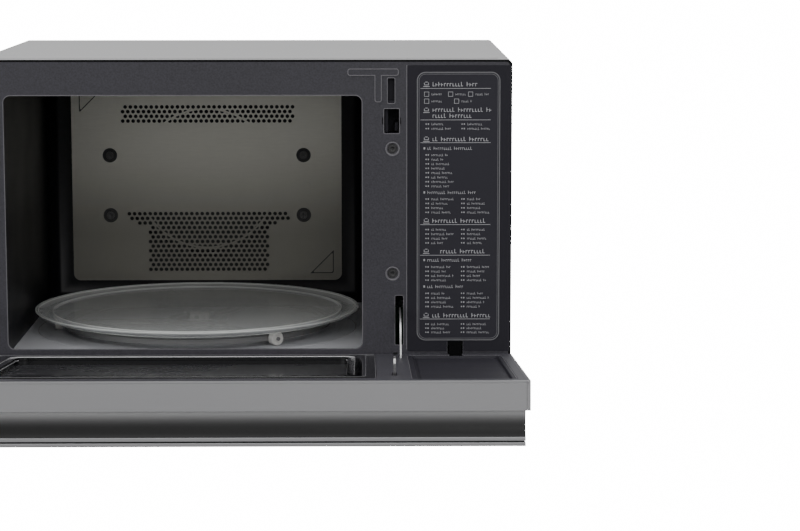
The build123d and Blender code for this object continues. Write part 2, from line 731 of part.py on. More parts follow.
with BuildPart() as choke_cover:
    with BuildSketch(door_at(inner_n - 0.2)):
        area(choke_left, choke_right, choke_low, choke_high)
        round_area(window_left + 15, window_right - 15, window_low, window_high, 10, Mode.SUBTRACT)
    extrude(amount=1.6)
    with BuildSketch(door_at(inner_n - 0.2)):
        round_area(window_left + 13.4, window_right - 13.4, window_low - 1.6, window_high + 1.6, 11)
        round_area(window_left + 15, window_right - 15, window_low, window_high, 10, Mode.SUBTRACT)
    extrude(amount=7)
save(choke_cover.part, "choke_cover")

with BuildPart() as inner_window_glass:
    with BuildSketch(door_at(inner_n - 7.3)):
        area(window_left + 6, window_right - 6, window_low - 10, window_high + 10)
    extrude(amount=3)
save(inner_window_glass.part, "inner_window_glass")

chassis_top = inner_n - 10.4
chassis_deep = door_thick - glass_thick - 14.0
with BuildPart() as door_chassis:
    with BuildSketch(door_at(chassis_top)):
        area(choke_left, choke_right + 26, choke_low + 4, choke_high + 6)
        round_area(window_left + 18, window_right - 18, window_low + 4, window_high - 4, 8, Mode.SUBTRACT)
    extrude(amount=1.2)
    with BuildSketch(door_at(chassis_top)):
        area(choke_left, choke_right + 26, choke_low + 4, choke_high + 6)
        area(choke_left + 1.2, choke_right + 24.8, choke_low + 5.2, choke_high + 4.8, Mode.SUBTRACT)
    extrude(amount=chassis_deep)
    with BuildSketch(door_at(chassis_top)):
        for side in ("right", "left"):
            area(slit[side][0] - 1, slit[side][1] + 1, slit_low, slit_high)
    extrude(amount=chassis_deep + 1, mode=Mode.SUBTRACT)
save(door_chassis.part, "door_chassis")

with BuildPart() as window_screen:
    with BuildSketch(door_at(inner_n - 11.8)):
        area(window_left + 8, window_right - 8, window_low - 6, window_high + 6)
    extrude(amount=0.6)
save(window_screen.part, "window_screen")

with BuildPart() as door_arms:
    for x in arm_x.values():
        with BuildSketch(across_door(x + arm_thick / 2)):
            with BuildLine():
                inner = CenterArc((0, 0), arm_mid - arm_wide / 2, 0, arm_sweep)
                outer = CenterArc((0, 0), arm_mid + arm_wide / 2, 0, arm_sweep)
                Line(inner @ 0, outer @ 0)
                Line(inner @ 1, outer @ 1)
            make_face()
            area(arm_mid - arm_wide / 2, arm_mid + arm_wide / 2, -5.5, 1)
        extrude(amount=arm_thick)
save(door_arms.part, "door_arms")

hook_wide = 3.6
pivot_at = (hook_s - 7, -1.2)
pivot_r = 1.5
for side in ("right", "left"):
    x = sum(slit[side]) / 2
    with BuildPart() as latch_hook:
        with BuildSketch(across_door(x + hook_wide / 2)):
            with BuildLine():
                Polyline((hook_s - 12, -3), (hook_s - 4, -5.8), (hook_s + 5, -3), (hook_s + 3.5, inner_n + 8),
                         (hook_s + 10, inner_n + 11), (hook_s + 7, inner_n + 15), (hook_s + 1, inner_n + 17),
                         (hook_s - 3.5, inner_n + 15), (hook_s - 4, inner_n), (hook_s - 12, 1.5), close=True)
            make_face()
            with Locations(pivot_at):
                Circle(pivot_r + run_fit, mode=Mode.SUBTRACT)
        extrude(amount=hook_wide)
    save(latch_hook.part, f"latch_hook_{side}")

with BuildPart() as latch_pivots:
    for side in ("right", "left"):
        x = sum(slit[side]) / 2
        with BuildSketch(across_door(x + 8)):
            with Locations(pivot_at):
                Circle(pivot_r)
        extrude(amount=16)
        for start in (x - 5, x + 8):
            with BuildSketch(across_door(start)):
                area(hook_s - 11, hook_s - 3, -5.2, 0.8)
            extrude(amount=3)
save(latch_pivots.part, "latch_pivots")

with BuildPart() as control_tray:
    with BuildSketch(door_at(inner_n - 0.6)):
        area(tray_left + gap, tray_right - gap, tray_low + gap, tray_high - gap)
        area(strap_x - strap_half, strap_x + strap_half, tray_low - 1, tray_low + 4, Mode.SUBTRACT)
    extrude(amount=4)
    with BuildSketch(door_at(inner_n - 0.6)):
        area(board_left, board_right, tray_low + 5, tray_high - 8)
    extrude(amount=2.6, mode=Mode.SUBTRACT)
save(control_tray.part, "control_tray")

board_top = inner_n - 9
board_thick = 1.6
dial_x, dial_s, dial_r = (tray_left + tray_right) / 2 + 1.25, door_top / 2 - 1, 21.0
dial_shaft_r = 3.0
with BuildPart() as control_board:
    with BuildSketch(door_at(board_top)):
        area(board_left, board_right, tray_low + 46, tray_high - 21)
    extrude(amount=board_thick)
    with BuildSketch(door_at(board_top - board_thick)):
        area(dial_x - 9, dial_x + 9, dial_s - 9, dial_s + 9)
        dots([(dial_x, dial_s)], dial_shaft_r + run_fit, Mode.SUBTRACT)
    extrude(amount=board_top - board_thick - outer_n - glass_thick)
save(control_board.part, "control_board")

button_at = {"start": (dial_x - 19, dial_s - 50), "stop": (dial_x + 19, dial_s - 50)}
button_r = 11.0
glass_high = door_top - 4.3
with BuildPart() as outer_door_glass:
    with BuildSketch(door_at(outer_n + glass_thick)):
        area(-door_side + 0.2, door_side - 0.2, door_bottom, glass_high)
        dots([(dial_x, dial_s)], 2 * dial_shaft_r, Mode.SUBTRACT)
        dots(list(button_at.values()), button_r + gap, Mode.SUBTRACT)
        for side in ("right", "left"):
            area(lug_x[side] - notch_half, lug_x[side] + notch_half, door_bottom - 1, 1, Mode.SUBTRACT)
    extrude(amount=glass_thick)
save(outer_door_glass.part, "outer_door_glass")

display_thick = 4.8
with BuildPart() as display_window:
    with BuildSketch(door_at(outer_n + glass_thick + display_thick + 0.2)):
        round_area(dial_x - 35, dial_x + 35, door_top - 97, door_top - 57, 2)
    extrude(amount=display_thick)
save(display_window.part, "display_window")

# silver side strips and the band across the door's free end
with BuildPart() as door_trim:
    with BuildSketch(door_at(inner_n)):
        area(-half, half, door_bottom, door_top)
        area(-door_side, door_side, door_bottom - 1, door_top - 4, Mode.SUBTRACT)
    extrude(amount=door_thick)
    fillet(edges().filter_by(lambda e: e.center().Z > 0 and abs(abs(e.center().X) - half) < 0.01
                             and e.length < door_thick + 1), 1.5)
save(door_trim.part, "door_trim")

handle_low = door_top - 26
handle_half = half - 4.5
grip_r = 20.0
with BuildPart() as handle_bar:
    with BuildSketch(across_door(handle_half)):
        area(handle_low, door_top, outer_n - scoop_deep, outer_n)
        dots([(door_top + grip_r - 5.5, outer_n - scoop_deep / 2 + 1)], grip_r, Mode.SUBTRACT)
    extrude(amount=2 * handle_half)
save(handle_bar.part, "handle_bar")

seam_high = 1.3
strip = (lip_high - seam_high) / 2
lip_top = outer_n - scoop_deep
seam_inset = 1.2
with BuildPart() as handle_lips:
    for top_n in (lip_top, lip_top - strip - seam_high):
        with BuildSketch(door_at(top_n)):
            area(-handle_half, handle_half, handle_low + 5, door_top)
        extrude(amount=strip)
save(handle_lips.part, "handle_lips")

with BuildPart() as handle_seam:
    with BuildSketch(door_at(lip_top - strip)):
        area(-handle_half + seam_inset, handle_half - seam_inset, handle_low + 6, door_top - seam_inset)
    extrude(amount=seam_high)
save(handle_seam.part, "handle_seam")

dial_out = 10.0
with BuildPart() as dial_knob:
    with BuildSketch(door_at(outer_n - 0.3)):
        dots([(dial_x, dial_s)], dial_r)
    extrude(amount=dial_out)
    chamfer(faces().sort_by(Axis.Z)[0].edges(), 1.2)
    with BuildSketch(door_at(outer_n - 0.3)):
        dots([(dial_x, dial_s)], dial_shaft_r)
    extrude(amount=-(glass_thick + 5))
save(dial_knob.part, "dial_knob")

for name, spot in button_at.items():
    with BuildPart() as button:
        with BuildSketch(door_at(outer_n + 2)):
            dots([spot], button_r)
        extrude(amount=3.2)
        chamfer(faces().sort_by(Axis.Z)[0].edges(), 0.5)
    save(button.part, f"{name}_button")
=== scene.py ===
import json
import math

import bmesh
import bpy
from mathutils import Matrix, Vector


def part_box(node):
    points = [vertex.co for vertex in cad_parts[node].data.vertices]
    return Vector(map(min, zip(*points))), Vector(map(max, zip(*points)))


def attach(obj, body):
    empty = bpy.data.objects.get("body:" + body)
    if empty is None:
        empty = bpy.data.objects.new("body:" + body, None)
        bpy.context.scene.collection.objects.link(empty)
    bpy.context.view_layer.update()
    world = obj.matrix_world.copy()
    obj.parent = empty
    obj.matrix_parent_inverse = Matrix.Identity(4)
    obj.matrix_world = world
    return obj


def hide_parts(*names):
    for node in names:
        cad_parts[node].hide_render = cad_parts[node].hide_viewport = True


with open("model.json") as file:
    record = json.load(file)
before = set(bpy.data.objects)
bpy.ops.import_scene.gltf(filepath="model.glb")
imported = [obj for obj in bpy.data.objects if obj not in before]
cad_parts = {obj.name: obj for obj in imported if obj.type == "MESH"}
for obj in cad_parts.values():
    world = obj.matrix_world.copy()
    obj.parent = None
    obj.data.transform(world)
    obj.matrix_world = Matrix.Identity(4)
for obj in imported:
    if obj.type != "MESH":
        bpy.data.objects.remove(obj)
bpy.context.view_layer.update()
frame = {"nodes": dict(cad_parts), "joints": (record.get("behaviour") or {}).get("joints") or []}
nodes = frame["nodes"]
print("frame loaded:", len(nodes), "nodes")

# places read from the frame, in metres
mm = 0.001
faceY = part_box("front_frame")[0].y + 0.7 * mm
jointOf = {joint["name"]: joint for joint in frame["joints"]}
hingeAt = Vector(jointOf["door_hinge"]["pos_m"])
doorLean = math.radians(jointOf["door_hinge"]["range_deg"][1])
doorOut = Vector((0, -math.sin(doorLean), math.cos(doorLean)))
doorUp = Vector((0, math.cos(doorLean), math.sin(doorLean)))


# ---- modelling helpers ----
def clearAll():
    bpy.ops.object.select_all(action="DESELECT")


def pick(piece):
    clearAll()
    piece.select_set(True)
    bpy.context.view_layer.objects.active = piece


def edit(piece, mode="EDGE"):
    pick(piece)
    bpy.ops.object.mode_set(mode="EDIT")
    bpy.ops.mesh.select_mode(type=mode)
    bpy.ops.mesh.select_all(action="DESELECT")


def done():
    bpy.ops.object.mode_set(mode="OBJECT")


def selectWhere(piece, kind, test):
    mesh = bmesh.from_edit_mesh(piece.data)
    for part in getattr(mesh, kind):
        part.select_set(bool(test(part)))
    mesh.select_flush_mode()
    bmesh.update_edit_mesh(piece.data)


def midOf(edge):
    return (edge.verts[0].co + edge.verts[1].co) / 2


def wayOf(edge):
    return (edge.verts[1].co - edge.verts[0].co).normalized()


# select everything and turn every face outwards; the piece is already being edited
def faceOut():
    bpy.ops.mesh.select_all(action="SELECT")
    bpy.ops.mesh.normals_make_consistent(inside=False)


def settle(piece):
    pick(piece)
    bpy.ops.object.transform_apply(location=True, rotation=True, scale=True)
    return piece


def applyModifier(piece, kind, **settings):
    pick(piece)
    modifier = piece.modifiers.new(kind.title(), kind)
    for key, value in settings.items():
        setattr(modifier, key, value)
    bpy.ops.object.modifier_apply(modifier=modifier.name)


def smooth(piece, angle=35):
    pick(piece)
    bpy.ops.object.shade_smooth_by_angle(angle=math.radians(angle))


# a block between two corners, its edges along one axis rounded to a radius
def addBlock(name, low, high, radius=0, along="Z", steps=5):
    low, high = Vector(low), Vector(high)
    clearAll()
    bpy.ops.mesh.primitive_cube_add(size=1, location=(low + high) / 2)
    piece = bpy.context.object
    piece.name = name
    piece.scale = high - low
    settle(piece)
    if radius > 0:
        axis = Vector((along == "X", along == "Y", along == "Z"))
        edit(piece)
        selectWhere(piece, "edges", lambda e: abs(wayOf(e).dot(axis)) > 0.99)
        bpy.ops.mesh.bevel(offset=radius, segments=steps, affect="EDGES")
        done()
    return piece


def addRod(name, start, end, radius, sides=32):
    start, end = Vector(start), Vector(end)
    clearAll()
    bpy.ops.mesh.primitive_cylinder_add(radius=radius, depth=(end - start).length, vertices=sides,
                                        location=(start + end) / 2)
    piece = bpy.context.object
    piece.name = name
    piece.rotation_euler = (end - start).to_track_quat("Z", "Y").to_euler()
    return settle(piece)


def soften(piece, width, segments=3, angle=38):
    applyModifier(piece, "BEVEL", width=width, segments=segments, limit_method="ANGLE",
                  angle_limit=math.radians(angle), harden_normals=False, miter_outer="MITER_ARC")
    smooth(piece)
    applyModifier(piece, "WEIGHTED_NORMAL", keep_sharp=True)
    return piece


def carve(piece, *cutters, operation="DIFFERENCE"):
    for cutter in cutters:
        applyModifier(piece, "BOOLEAN", operation=operation, object=cutter, solver="EXACT")
        bpy.data.objects.remove(cutter)
    return piece


def joinUp(name, pieces):
    pick(pieces[0])
    for piece in pieces:
        piece.select_set(True)
    bpy.ops.object.join()
    pieces[0].name = name
    return pieces[0]


# a solid of revolution about an upright axis, from points of (radius, height) in millimetres
def addTurned(name, centre, profile, steps=96):
    clearAll()
    bpy.ops.mesh.primitive_plane_add(size=1, location=(0, 0, 0))
    piece = bpy.context.object
    piece.name = name
    edit(piece, "VERT")
    bpy.ops.mesh.select_all(action="SELECT")
    bpy.ops.mesh.delete(type="VERT")
    mesh = bmesh.from_edit_mesh(piece.data)
    points = [mesh.verts.new((r * mm, 0, z * mm)) for r, z in profile]
    for a, b in zip(points, points[1:]):
        mesh.edges.new((a, b))
    bmesh.update_edit_mesh(piece.data)
    bpy.ops.mesh.select_all(action="SELECT")
    bpy.ops.mesh.spin(steps=steps, angle=2 * math.pi, center=(0, 0, 0), axis=(0, 0, 1))
    bpy.ops.mesh.select_all(action="SELECT")
    bpy.ops.mesh.remove_doubles(threshold=0.00002)
    bpy.ops.mesh.normals_make_consistent(inside=False)
    done()
    piece.location = centre
    settle(piece)
    smooth(piece, 30)
    return piece


# pieces of the door are made lying flat at the hinge line and then tipped to its lean
def layOnDoor(piece):
    basis = Matrix(((1, 0, 0), tuple(doorOut * -1), tuple(doorUp))).transposed().to_4x4()
    piece.data.transform(Matrix.Translation((0, hingeAt.y, hingeAt.z)) @ basis)
    return piece


# ---- materials ----
class Value:
    def __init__(self, shader, socket):
        self.shader = shader
        self.socket = socket

    def maths(self, operation, other):
        return self.shader.node("Math", {"operation": operation}, {0: self, 1: other})

    def __add__(self, other):
        return self.maths("ADD", other)

    __radd__ = __add__

    def __sub__(self, other):
        return self.maths("SUBTRACT", other)

    def __mul__(self, other):
        return self.maths("MULTIPLY", other)

    __rmul__ = __mul__

    def __pow__(self, other):
        return self.maths("POWER", other)


# a material, or the world when one is given, with the node that gives its plain surface
class Shader:
    def __init__(self, name, world=None):
        self.material = world or bpy.data.materials.new(name)
        self.material.use_nodes = True
        self.tree = self.material.node_tree
        self.surface = self.tree.nodes["Background" if world else "Principled BSDF"]

    def node(self, kind, settings=None, inputs=None, output=0):
        made = self.tree.nodes.new("ShaderNode" + kind)
        for key, value in (settings or {}).items():
            if key == "stops":
                ramp = made.color_ramp
                while len(ramp.elements) < len(value):
                    ramp.elements.new(0.5)
                for stop, (place, colour) in zip(ramp.elements, value):
                    stop.position = place
                    stop.color = (*colour, 1) if len(colour) == 3 else colour
            else:
                setattr(made, key, value)
        for key, value in (inputs or {}).items():
            if isinstance(value, Value):
                self.tree.links.new(value.socket, made.inputs[key])
            elif value is not None:
                made.inputs[key].default_value = value
        return Value(self, made.outputs[output])

    def place(self, scale=(1, 1, 1)):
        spot = self.node("TexCoord", output="Object")
        return self.node("Mapping", {}, {"Vector": spot, "Scale": scale})

    def noise(self, scale, detail=3, stretch=(1, 1, 1), rough=0.5):
        return self.node("TexNoise", {}, {"Vector": self.place(stretch), "Scale": scale, "Detail": detail,
                                          "Roughness": rough})

    def mix(self, factor, first, second):
        return self.node("Mix", {"data_type": "RGBA"}, {0: factor, 6: first, 7: second}, 2)

    def bump(self, height, strength, distance):
        return self.node("Bump", {}, {"Height": height, "Strength": strength, "Distance": distance})

    def set(self, **values):
        names = {"base": "Base Color", "rough": "Roughness", "metal": "Metallic", "normal": "Normal",
                 "coat": "Coat Weight", "ior": "IOR", "alpha": "Alpha", "spec": "Specular IOR Level"}
        for key, value in values.items():
            socket = self.surface.inputs[names[key]]
            if isinstance(value, Value):
                self.tree.links.new(value.socket, socket)
            else:
                socket.default_value = value
        return self.material


def grey(value, warm=0.0, blue=0.0):
    return (value * (1 + warm), value, value * (1 - warm + blue), 1)


# paint over pressed steel: a fine orange peel and slow changes of shade
def paintedSteel(name, colour, rough, peel=0.15, metal=0.0, coat=0.0, speckle=0.10):
    s = Shader(name)
    cloud = s.noise(9, 2)
    grain = s.noise(620, 2)
    dark = tuple(c * (1 - speckle) for c in colour[:3]) + (1,)
    light = tuple(c * (1 + speckle) for c in colour[:3]) + (1,)
    base = s.mix(cloud * 0.4 + (grain - 0.5) * 1.8 + 0.3, dark, light)
    return s.set(base=base, rough=rough + (grain - 0.5) * 0.16, metal=metal, coat=coat,
                 normal=s.bump(grain, peel, 0.0002))


def mouldedPlastic(name, colour, rough, grainScale=1400, depth=0.2, coat=0.0, spec=0.5):
    s = Shader(name)
    grain = s.noise(grainScale, 4, rough=0.6)
    wear = s.noise(14, 3)
    dark = tuple(c * 0.88 for c in colour[:3]) + (1,)
    base = s.mix(wear, dark, colour)
    return s.set(base=base, rough=rough + (wear - 0.5) * 0.12, coat=coat, spec=spec,
                 normal=s.bump(grain, depth, 0.00015))


def brushedMetal(name, colour, rough, stretch, metal=1.0, depth=0.12):
    s = Shader(name)
    lines = s.noise(60, 5, stretch, 0.7)
    cloud = s.noise(7, 2)
    dark = tuple(c * 0.86 for c in colour[:3]) + (1,)
    base = s.mix(lines * 0.6 + cloud * 0.4, dark, colour)
    return s.set(base=base, rough=rough + (lines - 0.5) * 0.22, metal=metal,
                 normal=s.bump(lines, depth, 0.0001))


# how far up a point lies between two heights, from 0 to 1
def heightFade(s, low, high):
    spot = s.node("TexCoord", output="Object")
    tall = s.node("SeparateXYZ", {}, {0: spot}, 2)
    spread = {0: tall, 1: low, 2: high, 3: 0.0, 4: 1.0}
    return s.node("MapRange", {"interpolation_type": "SMOOTHSTEP"}, spread)


# brushed metal with painted light and shade: its tone goes from dark at one height to light at another
def heightShadedMetal(name, low, high, dark, light, rough, stretch, metal=0.85, curve=1.0):
    s = Shader(name)
    lines = s.noise(60, 5, stretch, 0.7)
    base = s.mix(heightFade(s, low, high) ** curve * (lines * 0.3 + 0.85), dark, light)
    return s.set(base=base, rough=rough + (lines - 0.5) * 0.18, metal=metal,
                 normal=s.bump(lines, 0.1, 0.0001))


# cavity enamel: near black on the walls, and the floor painted a paler grey as a painted reflection
def cavityEnamel(name, floorHigh, floorReflectionTone, wallTone):
    s = Shader(name)
    grain = s.noise(300, 3)
    cloud = s.noise(12, 2)
    base = s.mix(heightFade(s, floorHigh, floorHigh + 0.0004), floorReflectionTone, wallTone)
    return s.set(base=base, rough=0.34 + cloud * 0.14, spec=0.22, normal=s.bump(grain, 0.06, 0.0002))


def clearGlass(name, tint, rough=0.02, alpha=0.25):
    s = Shader(name)
    film = s.noise(30, 3)
    return s.set(base=tint, rough=rough + film * 0.05, alpha=alpha, coat=0.0, ior=1.5, spec=0.6)


materials = {
    "cabinet": paintedSteel("cabinetPaint", grey(0.40, 0, 0.012), 0.42, 0.06, metal=0.35),
    "frame": paintedSteel("framePaint", (0.041, 0.0395, 0.049, 1), 0.48, 0.5, speckle=0.30),
    # pale paint for thin edge lines and rims: painted highlights
    "edge": paintedSteel("frameEdge", (0.165, 0.160, 0.175, 1), 0.36, 0.1),
    "panel": mouldedPlastic("panelPlastic", (0.023, 0.022, 0.029, 1), 0.52, spec=0.18),
    "pad": mouldedPlastic("padPlate", (0.032, 0.031, 0.040, 1), 0.48, 2200, 0.08, spec=0.2),
    "print": mouldedPlastic("palePrint", (0.46, 0.46, 0.48, 1), 0.6, 3000, 0.05),
    # pale grey for the pad's rim lines, a painted highlight, and for the door face's printed marks
    "line": mouldedPlastic("padLine", (0.17, 0.17, 0.18, 1), 0.5, 3000, 0.05),
    # the cavity floor's pale grey is a painted reflection on the black enamel
    "enamel": cavityEnamel("blackEnamel", 0.0292, (0.50, 0.505, 0.53, 1), (0.004, 0.004, 0.006, 1)),
    # the back plate's stainless carries painted light: darker low down, paler towards the top
    "shadedWarmSteel": heightShadedMetal("warmStainless", 0.10, 0.27, (0.20, 0.195, 0.172, 1), (0.74, 0.73, 0.66, 1), 0.42,
                            (1, 1, 14), 0.6),
    "zinc": brushedMetal("zincSheet", (0.50, 0.50, 0.50, 1), 0.48, (3, 1, 1)),
    "bright": brushedMetal("brightSteel", (0.74, 0.74, 0.74, 1), 0.22, (1, 1, 8)),
    "darkMetal": paintedSteel("darkMetal", (0.02, 0.02, 0.02, 1), 0.5),
    "silver": brushedMetal("doorSilver", (0.39, 0.39, 0.40, 1), 0.40, (1, 30, 30), metal=0.55),
    "gloss": mouldedPlastic("glossBlack", (0.005, 0.005, 0.006, 1), 0.12, 300, 0.03, coat=0.15, spec=0.3),
    "blackGlass": mouldedPlastic("blackGlass", (0.004, 0.004, 0.005, 1), 0.06, 200, 0.01, coat=0.8),
    "clearGlass": clearGlass("lampGlass", (0.75, 0.80, 0.78, 1)),
    "tableGlass": clearGlass("castGlass", (0.80, 0.82, 0.81, 1), 0.07, 0.46),
    # nearly white glass for thin rings on the turntable, painted highlights
    "glassEdge": clearGlass("glassEdge", (0.95, 0.97, 0.94, 1), 0.10, 0.60),
    # grey and white line paints for painted highlights and painted reflections
    "glossLine": mouldedPlastic("glossLine", (0.24, 0.24, 0.25, 1), 0.16, 300, 0.03, coat=0.5),
    "brightLine": mouldedPlastic("brightLine", (0.85, 0.85, 0.87, 1), 0.2, 300, 0.03, coat=0.5),
    "pane": mouldedPlastic("smokedPane", (0.030, 0.030, 0.034, 1), 0.28, 200, 0.02, coat=0.3),
    # the handle's scoop carries painted shade: near black low down, pale at the top below the band
    "scoop": heightShadedMetal("handleScoop", 0.012, 0.036, (0.008, 0.008, 0.008, 1), (0.90, 0.90, 0.91, 1), 0.40,
                        (1, 30, 30), 0.5, 3.5),
    "screwSteel": brushedMetal("screwSteel", (0.085, 0.085, 0.085, 1), 0.34, (1, 1, 1), metal=0.7),
    "sleeve": mouldedPlastic("sleeveBlack", (0.003, 0.003, 0.0035, 1), 0.6, spec=0.08),
    "armSteel": brushedMetal("armSteel", (0.55, 0.55, 0.55, 1), 0.30, (1, 1, 8)),
    "smoke": mouldedPlastic("ringPlastic", (0.22, 0.22, 0.22, 1), 0.4),
    "rubber": mouldedPlastic("footRubber", (0.016, 0.016, 0.016, 1), 0.7),
    "white": mouldedPlastic("whitePlastic", (0.72, 0.71, 0.68, 1), 0.45),
    "board": mouldedPlastic("circuitBoard", (0.03, 0.14, 0.06, 1), 0.45),
    "mica": mouldedPlastic("micaSheet", (0.20, 0.17, 0.13, 1), 0.4),
    "duct": mouldedPlastic("ductPlastic", (0.45, 0.45, 0.43, 1), 0.5),
}
nodeMaterials = {
    "cabinet": ["outer_cabinet"],
    "frame": ["front_frame", "door_inner_frame"],
    "panel": ["right_panel", "screw_cups", "control_tray", "latch_boards", "handle_seam"],
    "pad": ["menu_pad"],
    "enamel": ["cavity_shell"],
    "shadedWarmSteel": ["cavity_back_plate"],
    "zinc": ["base_plate", "back_panel", "rear_fan_cover", "waveguide", "door_chassis", "window_screen",
             "hinge_brackets"],
    "bright": ["case_screws", "back_plate_screws", "hinge_pins", "door_arms", "latch_hook_left",
               "latch_hook_right", "turntable_motor", "magnetron"],
    "darkMetal": ["latch_pivots", "fan_chamber", "convection_fan", "convection_motor", "cooling_motor",
                  "interlock_switches", "convection_heater", "grill_heater"],
    "silver": ["door_trim", "handle_bar", "handle_lips", "dial_knob", "start_button", "stop_button"],
    "gloss": ["choke_cover"],
    "sleeve": ["harness_strap"],
    "blackGlass": ["outer_door_glass", "display_window"],
    "pane": ["inner_window_glass"],
    "clearGlass": ["turntable_plate", "cavity_lamp"],
    "rubber": ["feet", "cord_gland"],
    "white": ["drive_coupling", "roller_ring", "roller_wheel_1", "roller_wheel_2",
              "roller_wheel_3"],
    "board": ["inverter_board", "control_board"],
    "mica": ["waveguide_cover"],
    "duct": ["air_duct", "cooling_shroud", "cooling_fan"],
}


def paint(piece, key):
    piece.data.materials.clear()
    piece.data.materials.append(materials[key])


for key, names in nodeMaterials.items():
    for name in names:
        paint(nodes[name], key)
print("materials made:", len(materials))


def finishPiece(piece, key, body, *replaced):
    paint(piece, key)
    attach(piece, body)
    if replaced:
        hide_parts(*replaced)
    return piece


def finishDoor(piece, key, *replaced, body="door"):
    return finishPiece(layOnDoor(piece), key, body, *replaced)


def at(x, depth, z):
    return (x * mm, faceY + depth * mm, z * mm)


# a block in millimetres: across, depth behind the front face, and height
def bodyBlock(name, x0, x1, y0, y1, z0, z1, radius=0, along="Y", steps=5):
    return addBlock(name, at(x0, y0, z0), at(x1, y1, z1), radius * mm, along, steps)


def bodyRod(name, x, z, y0, y1, radius, sides=40):
    return addRod(name, at(x, y0, z), at(x, y1, z), radius * mm, sides)


# ---- cabinet ----
cabinet = {"half": 270, "front": 2.6, "back": 396, "low": 14, "high": 329.4, "corner": 5, "skin": 1,
           "panelSide": 13, "panelFront": 17, "panelCorner": 9, "panelRise": 0.6}


def buildCabinet():
    c = cabinet
    shell = bodyBlock("cabinetWrap", -c["half"], c["half"], c["front"], c["back"], c["low"], c["high"])
    edit(shell)
    selectWhere(shell, "edges", lambda e: midOf(e).z > 0.32 and abs(wayOf(e).y) > 0.9)
    bpy.ops.mesh.bevel(offset=c["corner"] * mm, segments=8, affect="EDGES")
    done()
    panel = addBlock("panel", at(-c["half"] + c["panelSide"], c["panelFront"], c["high"] - 0.4),
                     at(c["half"] - c["panelSide"], c["back"] - c["panelFront"], c["high"] + c["panelRise"]),
                     c["panelCorner"] * mm, "Z", 8)
    inside = bodyBlock("inside", -c["half"] + c["skin"], c["half"] - c["skin"], c["front"] - 5, c["back"] + 5,
                       c["low"] - 5, c["high"] - c["skin"])
    carve(shell, panel, operation="UNION")
    carve(shell, inside)
    slots = []
    for side in (-1, 1):
        for row in range(3):
            for i in range(9):
                slots.append(addBlock("slot", at(side * 270 - 3, 253.3 + 9 * i, 194 + 30 * row),
                                      at(side * 270 + 3, 256.7 + 9 * i, 216 + 30 * row), 1.6 * mm, "X", 3))
    carve(shell, joinUp("slots", slots))
    soften(shell, 0.5 * mm, 3)
    finishPiece(shell, "cabinet", "body", "outer_cabinet")


buildCabinet()

# ---- front frame ----
latchX = {"right": 149.0, "left": -254.0}
slotX = {"right": 156.5, "left": -258.0}
screwX = {"right": 149.8, "left": -254.8}
lugX = {"right": 152.5, "left": -253.0}
front = {"plate": 1.2, "edge": 267.2, "low": 16.5, "high": 327.2, "mouth": (-239, 119, 37, 293.5),
         "mouthR": 7,
         "slot": (40.5, 91), "screwZ": (113.5, 240.0), "panelLeft": 170.5, "panelRight": 266}


# an outline of a block's face: the block less itself shrunk by the line's width
def outline(name, x0, x1, y0, y1, z0, z1, radius, line):
    ring = bodyBlock(name, x0, x1, y0, y1, z0, z1, radius, steps=8)
    hole = bodyBlock("hole", x0 + line, x1 - line, y0 - 3, y1 + 3, z0 + line, z1 - line,
                     max(radius - line, 0.3), steps=8)
    return carve(ring, hole)


def buildFrontFrame():
    f = front
    plate = bodyBlock("frontPlate", -f["edge"], f["edge"], 0, f["plate"], f["low"], f["high"], 3.5)
    bar = bodyBlock("bar", 105, 156, -0.7, 0.6, 313.5, 320.5, 2.5)
    stem = bodyBlock("stem", 132, 139, -0.7, 0.6, 287, 316, 2.5)
    carve(plate, bar, stem, operation="UNION")
    x0, x1, z0, z1 = f["mouth"]
    cuts = [bodyBlock("mouth", x0, x1, -2, 4, z0, z1, f["mouthR"], steps=8),
            bodyBlock("blindSlot", 145, 152, -2, 4, 286, 311, 1.2),
            bodyBlock("panelGap", f["panelLeft"], f["panelRight"] - 4, -2, 4, 44, 318),
            bodyBlock("strapGap", 205.6, 221, -2, 4, 10, 46)]
    for side in ("right", "left"):
        latch, slot, lug = latchX[side], slotX[side], lugX[side]
        cuts += [bodyBlock("latch", latch - 7.5, latch + 7.5, -2, 4, 255.8, 280.2, 1.2),
                 bodyBlock("ears", latch - 9.5, latch + 9.5, -2, 4, 264, 272, 1.2),
                 bodyBlock("slot", slot - 4, slot + 4, -2, 4, *f["slot"], 1.5),
                 bodyBlock("slotEars", slot - 5, slot + 5, -2, 4, 60, 82, 1.5),
                 bodyBlock("lug", lug - 2.5, lug + 2.5, -2, 4, 10, 32.5)]
        cuts += [bodyRod("screw", screwX[side], z, -2, 4, 7.4) for z in f["screwZ"]]
    carve(plate, *cuts)
    rim = bodyBlock("returnRim", -267.8, 267.8, 1.1, 13, 15.5, 327.6, 4)
    hollow = bodyBlock("hollow", -266.8, 266.8, 0, 20, 16.5, 326.6, 3)
    carve(rim, hollow)
    soften(plate, 0.55 * mm, 3)
    finishPiece(joinUp("frontFrame", [plate, rim]), "frame", "body", "front_frame")
    bezel = bodyBlock("frontBezel", -269.9, 269.9, 0.3, 2.5, 14.2, 329.5, 5, steps=8)
    carve(bezel, bodyBlock("hole", -267.3, 267.3, -2, 5, 16.6, 327.1, 3.4, steps=8))
    soften(bezel, 0.4 * mm, 2)
    finishPiece(bezel, "gloss", "body")
    blind = bodyBlock("blindCup", 144.4, 152.6, 1.25, 7, 285.4, 311.6, 1)
    carve(blind, bodyBlock("cup", 145.4, 151.6, 0, 6, 286.4, 310.6, 0.8))
    finishPiece(soften(blind, 0.2 * mm, 2), "panel", "body")


buildFrontFrame()
